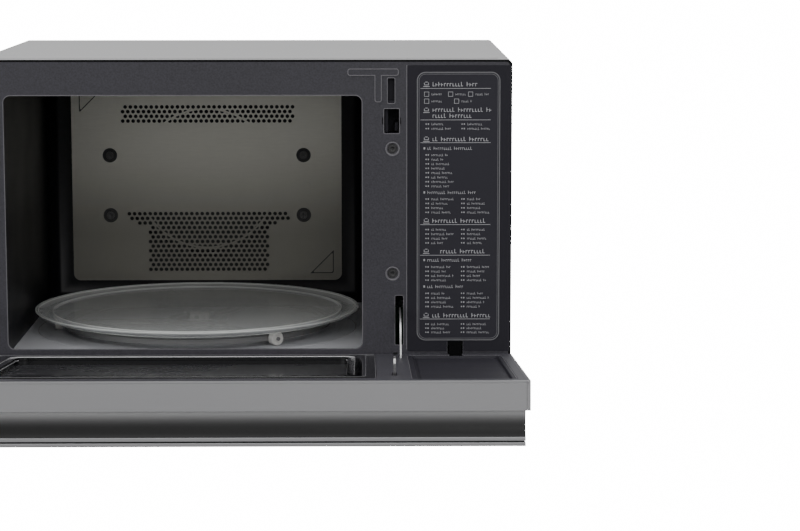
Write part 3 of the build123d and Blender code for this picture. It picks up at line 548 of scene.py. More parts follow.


# pale lines along the pressed shapes and the openings, painted highlights where they catch the light
def buildFrameEdgeHighlights():
    f = front
    x0, x1, z0, z1 = f["mouth"]
    tee = bodyBlock("tee", 104.9, 156.1, -0.8, -0.4, 313.4, 320.6, 2.5)
    carve(tee, bodyBlock("stem", 131.9, 139.1, -0.78, -0.4, 286.9, 316, 2.5), operation="UNION")
    carve(tee, bodyBlock("barIn", 105.7, 155.3, -3, 3, 314.2, 319.8, 1.8),
          bodyBlock("stemIn", 132.7, 138.3, -3, 3, 287.7, 316, 1.8))
    lines = [tee, bodyBlock("panelLine", 163.7, 164.5, -0.15, 0.3, 36, 324),
             outline("slotLine", 144.3, 152.7, -0.12, 0.3, 285.3, 311.7, 1.6, 0.7),
             outline("mouthLine", x0 - 0.8, x1 + 0.8, -0.10, 0.3, z0 - 0.8, z1 + 0.8, 7.6, 0.8)]
    for side in ("right", "left"):
        latch, slot = latchX[side], slotX[side]
        lines += [outline("latchLine", latch - 8.3, latch + 8.3, -0.12, 0.3, 255.0, 281.0, 1.6, 0.7),
                  outline("armLine", slot - 4.6, slot + 4.6, -0.12, 0.3, 39.9, 91.6, 1.8, 0.5)]
    finishPiece(joinUp("frameEdges", lines), "edge", "body")


buildFrameEdgeHighlights()


# a moulded cup behind each latch opening, with a rocker and a rest inside
def buildLatchCups():
    cups = []
    for x in latchX.values():
        cup = bodyBlock("latchCup", x - 10, x + 10, 1.25, 36, 248, 288, 1.5)
        carve(cup, bodyBlock("well", x - 7.6, x + 7.6, -2, 30, 255.6, 280.4, 1.5),
              bodyBlock("ears", x - 9.3, x + 9.3, -2, 8, 264.2, 271.8, 0.8))
        rocker = bodyBlock("rocker", x - 6.6, x - 3.6, 4, 29, 256.5, 279.5, 1)
        step = bodyBlock("rest", x + 3.2, x + 6.5, 10, 29, 257, 266, 1)
        cups.append(joinUp("latchCup", [soften(part, 0.3 * mm, 2) for part in (cup, rocker, step)]))
    finishPiece(joinUp("latchCups", cups), "panel", "body", "latch_boards")


buildLatchCups()


def buildFrameScrews():
    cups, heads = [], []
    for side in ("right", "left"):
        for z in front["screwZ"]:
            x = screwX[side]
            cup = bodyRod("cup", x, z, -0.05, 5.4, 7.3, 48)
            carve(cup, bodyRod("bore", x, z, -1, 4, 5.9, 48))
            cups.append(soften(cup, 0.45 * mm, 3))
            head = bodyRod("head", x, z, 1.6, 3.9, 4.3, 48)
            carve(head, bodyRod("drive", x, z, 1, 3.6, 1.9, 6))
            heads.append(soften(head, 0.6 * mm, 3))
    for x, z in [(side * 256, z) for side in (-1, 1) for z in (40, 170, 300)]:
        head = bodyRod("rearHead", x, z, 397, 399.4, 4, 40)
        for wide, tall in ((2.6, 0.45), (0.45, 2.6)):
            carve(head, bodyBlock("cross", x - wide, x + wide, 398.2, 401, z - tall, z + tall))
        heads.append(soften(head, 0.4 * mm, 2))
    # the screw cups take the pale edge paint: a painted highlight on their rims
    finishPiece(joinUp("frameScrewCups", cups), "edge", "body", "screw_cups")
    finishPiece(joinUp("frameScrewHeads", heads), "screwSteel", "body", "case_screws")


buildFrameScrews()
print("cabinet and front made")

# ---- right-hand panel with its menu pad ----
panel = {"left": 164.8, "right": 268.6, "low": 34, "high": 324, "pad": (174, 258, 45, 317.5),
         "padR": 9, "padFront": -0.9}


def buildPanel():
    p = panel
    plate = bodyBlock("sidePanel", p["left"], p["right"], -0.62, 0.2, p["low"], p["high"], 1.5)
    carve(plate, bodyBlock("notch", 204.5, 222, -3, 3, 30, 44.4, 1))
    soften(plate, 0.3 * mm, 2)
    backing = bodyBlock("panelBack", 171, 261.5, 0.25, 6, 45, 317.5)
    finishPiece(joinUp("sidePanel", [plate, backing]), "panel", "body", "right_panel")
    x0, x1, z0, z1 = p["pad"]
    pad = bodyBlock("menuPad", x0, x1, p["padFront"], -0.5, z0, z1, p["padR"], steps=8)
    soften(pad, 0.35 * mm, 2)
    finishPiece(pad, "pad", "body", "menu_pad")
    # a pale double line along the pad's raised rim, a painted highlight
    rims = []
    for inset, width in ((0.2, 1.0), (2.2, 0.5)):
        both = (("rim", inset, (-0.95, -0.8)), ("in", inset + width, (-3, 3)))
        rim, hole = [bodyBlock(part, x0 + gap, x1 - gap, *depths, z0 + gap, z1 - gap, p["padR"] - gap,
                               steps=8) for part, gap, depths in both]
        rims.append(carve(rim, hole))
    finishPiece(joinUp("padRim", rims), "line", "body")


buildPanel()


# the flat black sleeve of the harness, from under the pad down to the door's notch
def buildSleeve():
    shoulder = bodyBlock("sleeve", 205.2, 221.2, 0.25, 2.6, 40.5, 46.5, 1.2)
    strap = bodyBlock("strap", 206.8, 219.8, 0.3, 2.0, 25.5, 42, 1.0)
    deep = bodyBlock("strapIn", 206.8, 219.8, 1.8, 40, 40, 44, 1.0)
    parts = [soften(part, 0.35 * mm, 3) for part in (shoulder, strap, deep)]
    finishPiece(joinUp("harnessSleeve", parts), "sleeve", "body", "harness_strap")


buildSleeve()

# greeked print: rules, headings and item rows made of short bars, with plain pictograms
printing = {"ink": -0.92, "thick": 0.06, "rules": (300.7, 269.2, 246.3, 163.5, 132.4, 67.2),
            "headings": ((305, 190, 46), (279.5, 190, 62), (273.5, 190, 42), (250, 190, 58), (167.5, 190, 56),
                         (136.5, 198, 50), (71, 190, 60)),
            "subheads": ((240.7, 181, 46), (196.2, 181, 50), (127.5, 181, 46), (100.5, 181, 38)),
            "blocks": ((265, 2, 4.5, 2), (234, 8, 4.5, 1), (189.5, 4, 4.5, 2), (158.5, 4, 4.5, 2),
                       (120.5, 4, 4.5, 2), (93.5, 4, 4.5, 2), (62, 3, 4.2, 2))}


def buildPrint():
    p = printing
    clearAll()
    bpy.ops.mesh.primitive_cube_add(size=1, location=at(213, p["ink"], 300.7))
    ink = bpy.context.object
    ink.name = "menuPrint"
    ink.scale = (70.5 * mm, p["thick"] * mm, 0.45 * mm)
    settle(ink)
    edit(ink)

    def bar(x0, x1, z, high):
        bpy.ops.mesh.primitive_cube_add(size=1, location=at((x0 + x1) / 2, p["ink"], z),
                                        scale=((x1 - x0) * mm, p["thick"] * mm, high * mm))

    # upright ticks with short side strokes, standing in for the letters of a line of words
    def words(x, z, length, high, seed):
        end = x + length
        pitch = high * 0.66
        step = 0
        while x < end - pitch:
            pick = (seed * 11 + step * 7) % 10
            tall = high if pick in (0, 4) else high * 0.72
            base = z - high / 2
            if pick != 7 or step < 2:
                bar(x, x + high * 0.15, base + tall / 2, tall)
                level = base + tall * (0.08, 0.5, 0.92)[pick % 3]
                bar(x + high * 0.15, x + high * 0.46, level, high * 0.15)
            x += pitch
            step += 1

    for z in p["rules"][1:]:
        bar(177.8, 248.3, z, 0.45)
    for i, (z, x, length) in enumerate(p["headings"]):
        words(x, z, length, 4.3, i)
    for i, (z, x, length) in enumerate(p["subheads"]):
        bar(x, x + 1.6, z, 2.1)
        words(x + 4, z, length, 3.1, i + 3)
    for i, (z, rows, pitch, columns) in enumerate(p["blocks"]):
        for row in range(rows):
            for column in range(columns):
                x = 183 + 36 * column
                bar(x, x + 1.1, z - pitch * row, 1.2)
                bar(x + 2.2, x + 3.4, z - pitch * row, 1.4)
                words(x + 6, z - pitch * row, 13 + (i * 5 + row * 7 + column * 3) % 12, 2.3, i + row)
    for row, (z, marks) in enumerate(((295, (184, 208, 228)), (288, (184, 214)))):
        for i, x in enumerate(marks):
            bar(x - 2.4, x + 2.4, z + 2.2, 0.4)
            bar(x - 2.4, x + 2.4, z - 2.2, 0.4)
            bar(x - 2.4, x - 2.0, z, 4)
            bar(x + 2.0, x + 2.4, z, 4)
            words(x + 5, z, 12 if i < 2 else 14, 2.3, i + row)
    for z in (305, 279, 250, 167.5, 136.5, 71):
        bar(180.6, 187, z - 2.4, 0.6)
        bar(181.4, 186.2, z - 0.8, 0.6)
        bar(181.4, 182.0, z + 0.4, 2.2)
        bar(185.6, 186.2, z + 0.4, 2.2)
        bar(182.6, 185, z + 2.1, 0.6)
    done()
    finishPiece(ink, "print", "body")


buildPrint()
print("panel and print made")

# ---- cavity ----
cavity = {"x": (-241, 121), "z": (29, 295), "deep": 365, "corner": 22, "skin": 1,
          "port": (130, 205, 105, 165), "rearHole": (-190, 66, 355, 375, 62, 280, 12),
          "holes": (45, 203, 6, 1.8), "vents": (-60, 180, 14, 4), "floorRing": (171.4, 172.2, 0.15)}


def buildCavity():
    c = cavity
    x0, x1 = c["x"]
    z0, z1 = c["z"]
    skin = c["skin"]

    def chamber(name, grow, y0):
        block = bodyBlock(name, x0 - grow, x1 + grow, y0, c["deep"] + grow, z0 - grow, z1 + grow)
        edit(block)
        back = faceY + (c["deep"] + grow) * mm - 0.0001
        selectWhere(block, "edges", lambda e: midOf(e).y > back)
        bpy.ops.mesh.bevel(offset=(c["corner"] + grow) * mm, segments=10, affect="EDGES")
        done()
        return block

    shell = chamber("cavityLiner", skin, 1.25)
    carve(shell, chamber("space", 0, -5))
    y0, y1, low, high = c["port"]
    carve(shell, bodyBlock("port", x1 - 5, x1 + 5, y0, y1, low, high, 4, "X"))
    carve(shell, bodyBlock("rearHole", *c["rearHole"]))
    y, z, pitch, radius = c["holes"]
    spots = [(y + pitch * i, z + pitch * j) for i in range(6) for j in range(5)]
    holes = [addRod("hole", at(x1 - 3, *spot), at(x1 + 3, *spot), radius * mm, 12) for spot in spots]
    carve(shell, joinUp("holes", holes))
    x, y, pitch, radius = c["vents"]
    spots = [(x + pitch * i, y + pitch * j) for i in range(-4, 5) for j in range(-3, 4)]
    vents = [addRod("vent", at(*spot, z1 - 3), at(*spot, z1 + 3), radius * mm, 14) for spot in spots]
    carve(shell, joinUp("vents", vents))
    carve(shell, addRod("spindle", at(-60, 185, 20), at(-60, 185, 35), 8 * mm, 32))
    smooth(shell, 40)
    finishPiece(shell, "enamel", "body", "cavity_shell")
    # the track pressed in the floor: a low ring painted white as a painted highlight
    inner, outer, tall = c["floorRing"]
    section = ((inner, z0), (outer, z0), (outer, z0 + tall), (inner, z0 + tall), (inner, z0))
    ring = addTurned("floorLine", at(-60, 185, 0), section, 144)
    finishPiece(ring, "brightLine", "body")


buildCavity()
backPlate = {"front": 363.6, "screws": [(-60 + side * 111.3, z) for side in (-1, 1) for z in (129.4, 198.8)]}


def buildBackPlateDetails():
    b = backPlate
    rings, heads = [], []
    for x, z in b["screws"]:
        ring = bodyRod("seat", x, z, b["front"] - 0.5, b["front"], 8.3, 48)
        rings.append(soften(ring, 0.3 * mm, 2))
        head = bodyRod("head", x, z, b["front"] - 2.2, b["front"] - 0.4, 4.4, 48)
        carve(head, bodyBlock("cross", x - 3, x + 3, b["front"] - 3, b["front"] - 1.2, z - 0.5, z + 0.5))
        carve(head, bodyBlock("cross", x - 0.5, x + 0.5, b["front"] - 3, b["front"] - 1.2, z - 3, z + 3))
        heads.append(soften(head, 0.4 * mm, 2))
    # the seats are near-black discs on the plate, painted shade of the screws' recesses
    finishPiece(joinUp("screwSeats", rings), "darkMetal", "body")
    finishPiece(joinUp("backPlateScrewHeads", heads), "screwSteel", "body", "back_plate_screws")
    ridges = []
    for side in (-1, 1):
        for corner, rise in ((61.4, 1), (275.0, -1)):
            outer = triangle(side, corner, rise, 27, b["front"] - 0.45, b["front"] + 0.1)
            inner = triangle(side, corner + rise * 1.0, rise, 23.6, b["front"] - 3, b["front"] + 3, 1.0)
            carve(outer, inner)
            ridges.append(soften(outer, 0.2 * mm, 2))
    # the raised triangle rims are near black: painted shade along the embosses
    finishPiece(joinUp("backPlateRidges", ridges), "darkMetal", "body")
    dimple = soften(bodyRod("dimple", 56, 164, b["front"] - 0.5, b["front"], 3, 32), 0.45 * mm, 3)
    ring = addRod("pressedRing", at(-60, b["front"] - 0.28, 172), at(-60, b["front"], 172), 81 * mm, 160)
    carve(ring, addRod("inner", at(-60, 360, 172), at(-60, 366, 172), 79.2 * mm, 160))
    # the pressed ring and the dimple share the plate's painted light
    finishPiece(joinUp("pressedRing", [soften(ring, 0.2 * mm, 2), dimple]), "shadedWarmSteel", "body")


# a right-angled prism in a corner of the back plate, its long sides rounded a little
def triangle(side, corner, rise, leg, y0, y1, inset=0):
    x = -60 + side * (145.7 - inset)
    xs = sorted((x, x - side * leg))
    zs = sorted((corner, corner + rise * leg))
    prism = bodyBlock("triangle", xs[0], xs[1], y0, y1, zs[0], zs[1])
    size = 60
    away = Vector((-side, 0, rise)).normalized()
    middle = Vector(at(x - side * leg / 2, (y0 + y1) / 2, corner + rise * leg / 2))
    clearAll()
    bpy.ops.mesh.primitive_cube_add(size=size * mm, location=middle + away * size * mm / 2,
                                    rotation=(0, math.pi / 4, 0))
    carve(prism, settle(bpy.context.object))
    edit(prism)
    selectWhere(prism, "edges", lambda e: abs(wayOf(e).y) > 0.9)
    bpy.ops.mesh.bevel(offset=2.5 * mm, segments=4, affect="EDGES")
    done()
    return prism


buildBackPlateDetails()
print("cavity made")

# ---- turntable ----
table = {"x": -60, "y": 185, "z": 44.02, "steps": 144, "lugs": 17, "lugR": 2.0, "lugTurn": 30,
         "profile": ((0, 0), (150, 0), (152, 0.5), (163, 0.9), (171.5, 3.6), (174.4, 5.4), (175, 6.6),
                     (174.4, 7.5), (172.8, 7.5), (171.6, 6.6), (168.5, 5.3), (163, 4.4), (158, 4.6),
                     (156.6, 5.4), (155.2, 5.4), (154, 4.2), (120, 4), (0, 4)),
         "rings": ((174.9, 6.6, 0.8, 1.0), (171.8, 6.5, 0.7, 0.6), (156.5, 5.3, 1.0, 0.5),
                   (163, 0.6, 0.8, 0.5))}


def buildTurntable():
    t = table
    z = t["z"]
    profile = [(r, z + rise) for r, rise in t["profile"]]
    plate = addTurned("glassTurntable", at(t["x"], t["y"], 0), profile, t["steps"])
    lugs = []
    for i in range(3):
        turn = math.radians(t["lugTurn"] + 120 * i)
        x, y = t["x"] + t["lugs"] * math.cos(turn), t["y"] + t["lugs"] * math.sin(turn)
        lug = addRod("lug", at(x, y, z - 3.9), at(x, y, z + 0.5), t["lugR"] * mm, 20)
        lugs.append(soften(lug, 0.5 * mm, 2))
    finishPiece(joinUp("glassTurntable", [plate] + lugs), "tableGlass", "turntable", "turntable_plate")
    # thin pale glass rings at the rims and steps, painted highlights
    rings = []
    for r, rise, wide, tall in t["rings"]:
        low = z + rise
        section = ((r - wide, low), (r, low), (r, low + tall), (r - wide, low + tall), (r - wide, low))
        rings.append(addTurned("glassRing", at(t["x"], t["y"], 0), section, t["steps"]))
    finishPiece(joinUp("glassEdges", rings), "glassEdge", "turntable")


buildTurntable()
wheels = {"z": 36.5, "track": 150, "first": -53.6,
          "profile": ((2.1, -4), (6.4, -4), (7.2, -3.2), (7.2, 3.2), (6.4, 4), (4.6, 4), (4.2, 3.2),
                      (3.2, 3.2), (2.8, 4), (2.1, 4), (2.1, -4))}


def buildRollers():
    w = wheels
    centre = Vector(at(table["x"], table["y"], w["z"]))
    profile = [(136, -2.5), (145, -2.5), (145, 2.5), (143.6, 2.5), (143.6, -1.2), (137.4, -1.2), (137.4, 2.5),
               (136, 2.5), (136, -2.5)]
    ring = addTurned("ring", centre, profile, 96)
    hub = addTurned("hub", centre, ((24, -2.5), (32, -2.5), (32, 2.5), (24, 2.5), (24, -2.5)), 64)
    parts = [ring, hub]
    for i in range(3):
        turn = math.radians(w["first"] + 120 * i)
        way = Vector((math.cos(turn), math.sin(turn), 0))
        arm = addBlock("arm", (31 * mm, -4.5 * mm, -2.5 * mm), (137 * mm, 4.5 * mm, 2.0 * mm))
        soften(arm, 0.6 * mm, 2)
        arm.rotation_euler = (0, 0, turn)
        arm.location = centre
        parts.append(settle(arm))
        parts.append(addRod("stub", centre + way * 0.142, centre + way * 0.1555, 2.0 * mm, 24))
        sideways = way.cross(Vector((0, 0, 1)))
        wheel = addTurned("rollerWheel" + str(i + 1), (0, 0, 0), w["profile"], 48)
        basis = Matrix((sideways, Vector((0, 0, 1)) * -1, way)).transposed().to_4x4()
        wheel.data.transform(Matrix.Translation(centre + way * w["track"] * mm) @ basis)
        edit(wheel, "FACE")
        faceOut()
        done()
        finishPiece(wheel, "white", "wheel_" + str(i + 1), "roller_wheel_" + str(i + 1))
    finishPiece(joinUp("rollerRing", parts), "smoke", "ring", "roller_ring")


buildRollers()
print("turntable made")

# ---- door, in its own measures: across, out from the hinge line, up from it ----
door = {"half": 270, "side": 265.8, "low": -2, "top": 302, "up": 4, "down": -23, "choke": (-252, 132, 6, 274),
        "window": (-225, 105, 34, 246), "tray": (164, 259.5, 14, 283), "slits": {"right": 149, "left": -254},
        "hookOut": 236, "band": 4,
        "chokeLines": ((0, (3.5, 3.95), 3, 0.7), (9.2, (4.3, 4.75), 10, 0.7), (26.4, (1.0, 1.5), 10.6, 1.0))}


def laidBlock(name, x0, x1, out0, out1, up0, up1, radius=0, along="Z", steps=5):
    low, high = (x0 * mm, -out1 * mm, up0 * mm), (x1 * mm, -out0 * mm, up1 * mm)
    return addBlock(name, low, high, radius * mm, along, steps)


# a flat ring on the door between pairs of places, the outer corners and the inner ones rounded
def laidRing(name, across, outs, ups, radius, wide, inner, steps=8):
    (x0, x1), (out0, out1), (low, high) = across, outs, ups
    ring = laidBlock(name, x0, x1, out0, out1, low, high, radius, steps=steps)
    return carve(ring, laidBlock("in", x0 + wide, x1 - wide, out0 + wide, out1 - wide, low - 3, high + 3,
                                 inner, steps=steps))


def buildDoorInner():
    d = door
    plate = laidBlock("doorInner", -d["side"], d["side"], d["low"], d["top"] - 4, 1, d["up"])
    x0, x1, s0, s1 = d["choke"]
    t0, t1, u0, u1 = d["tray"]
    cuts = [laidBlock("choke", x0 - 0.4, x1 + 0.4, s0 - 0.4, s1 + 0.4, -3, 8, 3),
            laidBlock("tray", t0, t1, u0, u1, -3, 8, 5),
            laidBlock("strap", 207, 220, -6, 16, -3, 8, 1)]
    for side in ("right", "left"):
        cuts += [laidBlock("slit", d["slits"][side] - 2.4, d["slits"][side] + 2.4, 212, 248, -3, 8, 1),
                 laidBlock("armSlit", slotX[side] + 0.8 - 1.6, slotX[side] + 0.8 + 1.6, 42, 54, -3, 8, 0.8),
                 laidBlock("lugGap", lugX[side] - 1.9, lugX[side] + 1.9, -6, 6.5, -3, 8)]
    carve(plate, *cuts)
    soften(plate, 0.6 * mm, 3)
    walls = laidBlock("walls", -d["side"], d["side"], d["low"], d["top"] - 4, -18.4, 1.02)
    carve(walls, laidBlock("room", -d["side"] + 2, d["side"] - 2, d["low"] + 7, d["top"] - 6, -30, 10),
          laidBlock("strap", 207, 220, -6, 16, -3, 8, 1))
    for side in ("right", "left"):
        carve(walls, laidBlock("lugGap", lugX[side] - 1.9, lugX[side] + 1.9, -6, 6.5, -9, 8))
    finishDoor(joinUp("doorInnerFrame", [plate, walls]), "frame", "door_inner_frame")
    groove = laidBlock("endGroove", -d["side"] + 1, d["side"] - 1, 287, 294.5, 3.0, 3.96, 1)
    carve(groove, laidBlock("channel", -d["side"] + 3, d["side"] - 3, 289, 292.6, 3.6, 6, 1))
    soften(groove, 0.3 * mm, 2)
    finishDoor(groove, "panel")
    strips = [laidBlock("edgeStrip", side * d["side"], side * (d["half"] - 1.3), d["low"] + 1, d["top"] - 4,
                        3.9, 4.06) for side in (1, -1)]
    for strip in strips:
        edit(strip, "FACE")
        faceOut()
        done()
    finishDoor(joinUp("edgeStrips", strips), "frame")


def buildChoke():
    d = door
    x0, x1, s0, s1 = d["choke"]
    w0, w1, v0, v1 = d["window"]
    cover = laidBlock("chokeCover", x0, x1, s0, s1, 0.6, 3.8, 3)
    soften(cover, 0.5 * mm, 2)
    step = laidBlock("stepRing", x0 + 9, x1 - 9, s0 + 9, s1 - 9, 3.4, 4.6, 10, steps=8)
    carve(step, laidBlock("stepHole", w0 - 7, w1 + 7, v0 - 7, v1 + 7, 3, 8, 12, steps=8))
    soften(step, 0.5 * mm, 3)
    carve(cover, laidBlock("windowHole", w0, w1, v0, v1, -12, 12, 10, steps=10))
    well = laidBlock("well", w0 - 1.6, w1 + 1.6, v0 - 1.6, v1 + 1.6, -3.2, 1.2, 11, steps=10)
    carve(well, laidBlock("wellHole", w0, w1, v0, v1, -12, 12, 10, steps=10))
    finishDoor(joinUp("chokeCover", [cover, step, well]), "gloss", "choke_cover")
    # thin pale rings on the cover's steps are painted highlights; the innermost is white, with a white band
    # on the window's far wall as a painted reflection
    lines = []
    for inset, ups, radius, wide in d["chokeLines"]:
        lines.append(laidRing("chokeLine", (x0 + inset, x1 - inset), (s0 + inset, s1 - inset), ups, radius,
                              wide, radius - wide / 2))
    wall = laidRing("wallLine", (w0 - 7.2, w1 + 7.2), (v0 - 7.2, v1 + 7.2), (2.0, 4.2), 12.2, 0.5, 11.7)
    finishDoor(joinUp("windowLines", [lines.pop(), wall]), "brightLine")
    finishDoor(joinUp("chokeLines", lines), "glossLine")
    pane = laidBlock("innerPane", -234, 114, 24, 256, -6.3, -3.3, 4)
    finishDoor(soften(pane, 0.4 * mm, 2), "pane", "inner_window_glass")


def buildTray():
    d = door
    t0, t1, u0, u1 = d["tray"]
    tray = laidBlock("controlTray", t0 + 0.3, t1 - 0.3, u0 + 0.3, u1 - 0.3, -0.6, 3.4, 5)
    pocket = laidBlock("pocket", t0 + 6, t1 - 5, u0 + 7, u1 - 8, 0.9, 8, 4)
    edit(pocket, "FACE")
    selectWhere(pocket, "faces", lambda f: f.normal.z > 0.9)
    middle = ((t0 + t1) / 2 * mm, -(u0 + u1) / 2 * mm, 0)
    bpy.ops.transform.resize(value=(1.05, 1.02, 1), center_override=middle)
    done()
    carve(tray, pocket, laidBlock("strap", 206, 220.6, 0, 18, -3, 8, 1))
    land = laidBlock("land", t0 + 9, t1 - 8, u0 + 12, u1 - 13, 0.5, 1.5, 3)
    soften(tray, 0.45 * mm, 3, 20)
    finishDoor(joinUp("controlTray", [tray, soften(land, 0.4 * mm, 3)]), "panel", "control_tray")
    # a pale line around the tray's rim, a painted highlight
    rim = laidRing("trayLine", (t0 + 0.1, t1 - 0.1), (u0 + 0.1, u1 - 0.1), (3.0, 3.6), 5.2, 0.5, 4.7, 5)
    carve(rim, laidBlock("strap", 206, 220.6, 0, 18, -3, 8, 1))
    finishDoor(rim, "edge")


def buildTrim():
    d = door
    band = laidBlock("doorBand", -d["half"], d["half"], d["low"], d["top"], d["down"], d["up"])
    edit(band)
    selectWhere(band, "edges", lambda e: abs(wayOf(e).z) > 0.9 and midOf(e).y < -0.2)
    bpy.ops.mesh.bevel(offset=1.4 * mm, segments=6, affect="EDGES")
    done()
    carve(band, laidBlock("middle", -d["side"], d["side"], d["low"] - 5, d["top"] - d["band"], -40, 20))
    for side in (-1, 1):
        seam = side * (d["side"] + 0.6)
        carve(band, laidBlock("seam", seam - 0.25, seam + 0.25, d["top"] - 0.5, d["top"] + 2, -30, 10))
    carve(band, laidBlock("topLine", -d["half"] - 1, d["half"] + 1, d["top"] - 0.4, d["top"] + 2, 1.6, 2.1))
    soften(band, 0.6 * mm, 3)
    finishDoor(band, "silver", "door_trim")


handle = {"half": 265.5, "low": 276, "deep": 23.5, "strip": 3.5, "seam": 1.3, "lipLow": 281, "gripR": 20,
          "gripOut": 14.5}


def buildHandle():
    h, d = handle, door
    top = d["down"] - h["deep"]
    grip = laidBlock("handleGrip", -h["half"], h["half"], h["low"], d["top"], top, d["down"])
    clearAll()
    bpy.ops.mesh.primitive_cylinder_add(vertices=128, radius=1, depth=2 * h["half"] * mm + 0.02,
                                        location=(0, -(d["top"] + h["gripOut"]) * mm,
                                                  (d["down"] - h["deep"] / 2 + 1) * mm),
                                        rotation=(0, math.pi / 2, 0))
    scoop = bpy.context.object
    scoop.scale = (h["gripR"] * mm, h["gripR"] * mm, 1)
    settle(scoop)
    carve(grip, scoop)
    soften(grip, 0.3 * mm, 2)
    # the grip's dark-to-pale tone is painted shade
    finishDoor(grip, "scoop", "handle_bar")
    lips = [laidBlock("lip", -h["half"], h["half"], h["lipLow"], d["top"], low - h["strip"], low, 0)
            for low in (top, top - h["strip"] - h["seam"])]
    for lip in lips:
        soften(lip, 0.5 * mm, 3)
    finishDoor(joinUp("handleLips", lips), "silver", "handle_lips")
    seam = laidBlock("handleSeam", -h["half"] + 1.2, h["half"] - 1.2, h["lipLow"] + 1, d["top"] - 1.2,
                     top - h["strip"] - h["seam"], top - h["strip"])
    finishDoor(soften(seam, 0.2 * mm, 2), "gloss", "handle_seam")


links = {"armIn": 44.6, "armOut": 51.4, "armSweep": 99, "armHalf": 0.85, "hookHalf": 1.15}


# the thin curved arms that run through the frame's slots; the two latch hooks follow below
def buildLinks():
    k = links
    arms = []
    for side in ("right", "left"):
        x = slotX[side] + 0.8
        clearAll()
        bpy.ops.mesh.primitive_plane_add(size=1, location=(0, 0, 0))
        arm = bpy.context.object
        arm.scale = (2 * k["armHalf"] * mm, (k["armOut"] - k["armIn"]) * mm, 1)
        arm.location = (x * mm, -(k["armIn"] + k["armOut"]) / 2 * mm, -5 * mm)
        settle(arm)
        edit(arm, "FACE")
        bpy.ops.mesh.select_all(action="SELECT")
        bpy.ops.mesh.extrude_region_move(TRANSFORM_OT_translate={"value": (0, 0, 5 * mm)})
        bpy.ops.mesh.spin(steps=28, angle=math.radians(k["armSweep"]), center=(0, 0, 0), axis=(1, 0, 0))
        bpy.ops.mesh.select_all(action="SELECT")
        bpy.ops.mesh.remove_doubles(threshold=0.00002)
        bpy.ops.mesh.normals_make_consistent(inside=False)
        done()
        arms.append(soften(arm, 0.3 * mm, 2, 50))
    finishDoor(joinUp("doorArms", arms), "armSteel", "door_arms")


hookShape = ((-12, -3), (-4, -5.8), (6, -3), (9, 12), (9.4, 15), (7, 19), (1, 21), (-3.5, 19), (-4, 4),
             (-12, 1.5))


# a flat blade from an outline of (out, up) points, its rim softened
def buildHooks():
    for side in ("right", "left"):
        x = door["slits"][side]
        clearAll()
        bpy.ops.mesh.primitive_circle_add(vertices=len(hookShape), radius=1, fill_type="NGON")
        blade = bpy.context.object
        blade.name = "latchHook" + side.title()
        for vertex, (out, up) in zip(blade.data.vertices, hookShape):
            vertex.co = ((x - links["hookHalf"]) * mm, -(door["hookOut"] + out) * mm, up * mm)
        edit(blade, "FACE")
        bpy.ops.mesh.select_all(action="SELECT")
        bpy.ops.mesh.extrude_region_move(TRANSFORM_OT_translate={"value": (2 * links["hookHalf"] * mm, 0, 0)})
        faceOut()
        done()
        pin = addRod("bore", ((x - 4) * mm, -(door["hookOut"] - 7) * mm, -1.2 * mm),
                     ((x + 4) * mm, -(door["hookOut"] - 7) * mm, -1.2 * mm), 1.6 * mm, 24)
        carve(blade, pin)
        soften(blade, 0.45 * mm, 2, 30)
        finishDoor(blade, "armSteel", "latch_hook_" + side, body="latch_hook_" + side)


dialShape = {"x": 213, "out": 150, "face": -23, "flutes": 36, "ticks": 24,
             "profile": ((0, -1), (21, -1), (21, -3), (19.6, -3.6), (19.2, -8.8), (18.2, -9.7), (13.5, -9.4),
                         (12.8, -8.9), (0, -8.9))}


# the turning knob: a stepped round grip with fine flutes, an inlaid pointer and a skirt
def buildDial():
    k = dialShape
    grip = addTurned("dialGrip", (0, 0, 0), k["profile"], 96)
    flutes = []
    for i in range(k["flutes"]):
        turn = math.radians(i * 360 / k["flutes"])
        spot = Vector((19.9 * math.cos(turn) * mm, 19.9 * math.sin(turn) * mm, 0))
        ends = [spot + Vector((0, 0, z * mm)) for z in (-8.4, -4.2)]
        flutes.append(addRod("flute", *ends, 0.75 * mm, 12))
    carve(grip, joinUp("flutes", flutes))
    smooth(grip, 35)
    pointer = laidBlock("pointer", -0.6, 0.6, 13.6, 17, -10.0, -9.2, 0.3)
    shift = Matrix.Translation((k["x"] * mm, -k["out"] * mm, k["face"] * mm))
    for piece, key, name in ((grip, "silver", "dial_knob"), (pointer, "gloss", "")):
        piece.data.transform(shift)
        layOnDoor(piece)
        finishPiece(piece, key, "dial", *([name] if name else []))
    ticks = []
    for i in range(k["ticks"]):
        turn = math.radians(i * 360 / k["ticks"])
        tick = laidBlock("tick", -0.25, 0.25, -26, -24, -0.12, 0.05)
        tick.rotation_euler = (0, 0, turn)
        settle(tick).data.transform(shift)
        ticks.append(tick)
    finishDoor(joinUp("dialTicks", ticks), "print")


buttonsAt = {"start": (194, 100), "stop": (232, 100)}
capProfile = ((0, 3.0), (11, 3.0), (11, 0.8), (10.6, 0.2), (9.8, 0), (9.2, 0.25), (0, 0.45))


# round push buttons with a softened face, one marked with a triangle and one with a square
def buildButtons():
    for name, (x, out) in buttonsAt.items():
        cap = addTurned("cap", (x * mm, -out * mm, -24.2 * mm), capProfile, 64)
        layOnDoor(cap)
        clearAll()
        sides, turn = (3, 30) if name == "start" else (4, 45)
        bpy.ops.mesh.primitive_cylinder_add(vertices=sides, radius=4 * mm, depth=0.5 * mm,
                                            location=(x * mm, -out * mm, -23.9 * mm),
                                            rotation=(0, 0, math.radians(turn)))
        mark = layOnDoor(settle(bpy.context.object))
        finishPiece(cap, "silver", name + "_button", name + "_button")
        finishPiece(mark, "gloss", name + "_button")


displayShape = {"x": (178, 248), "out": (205, 245), "face": -23}
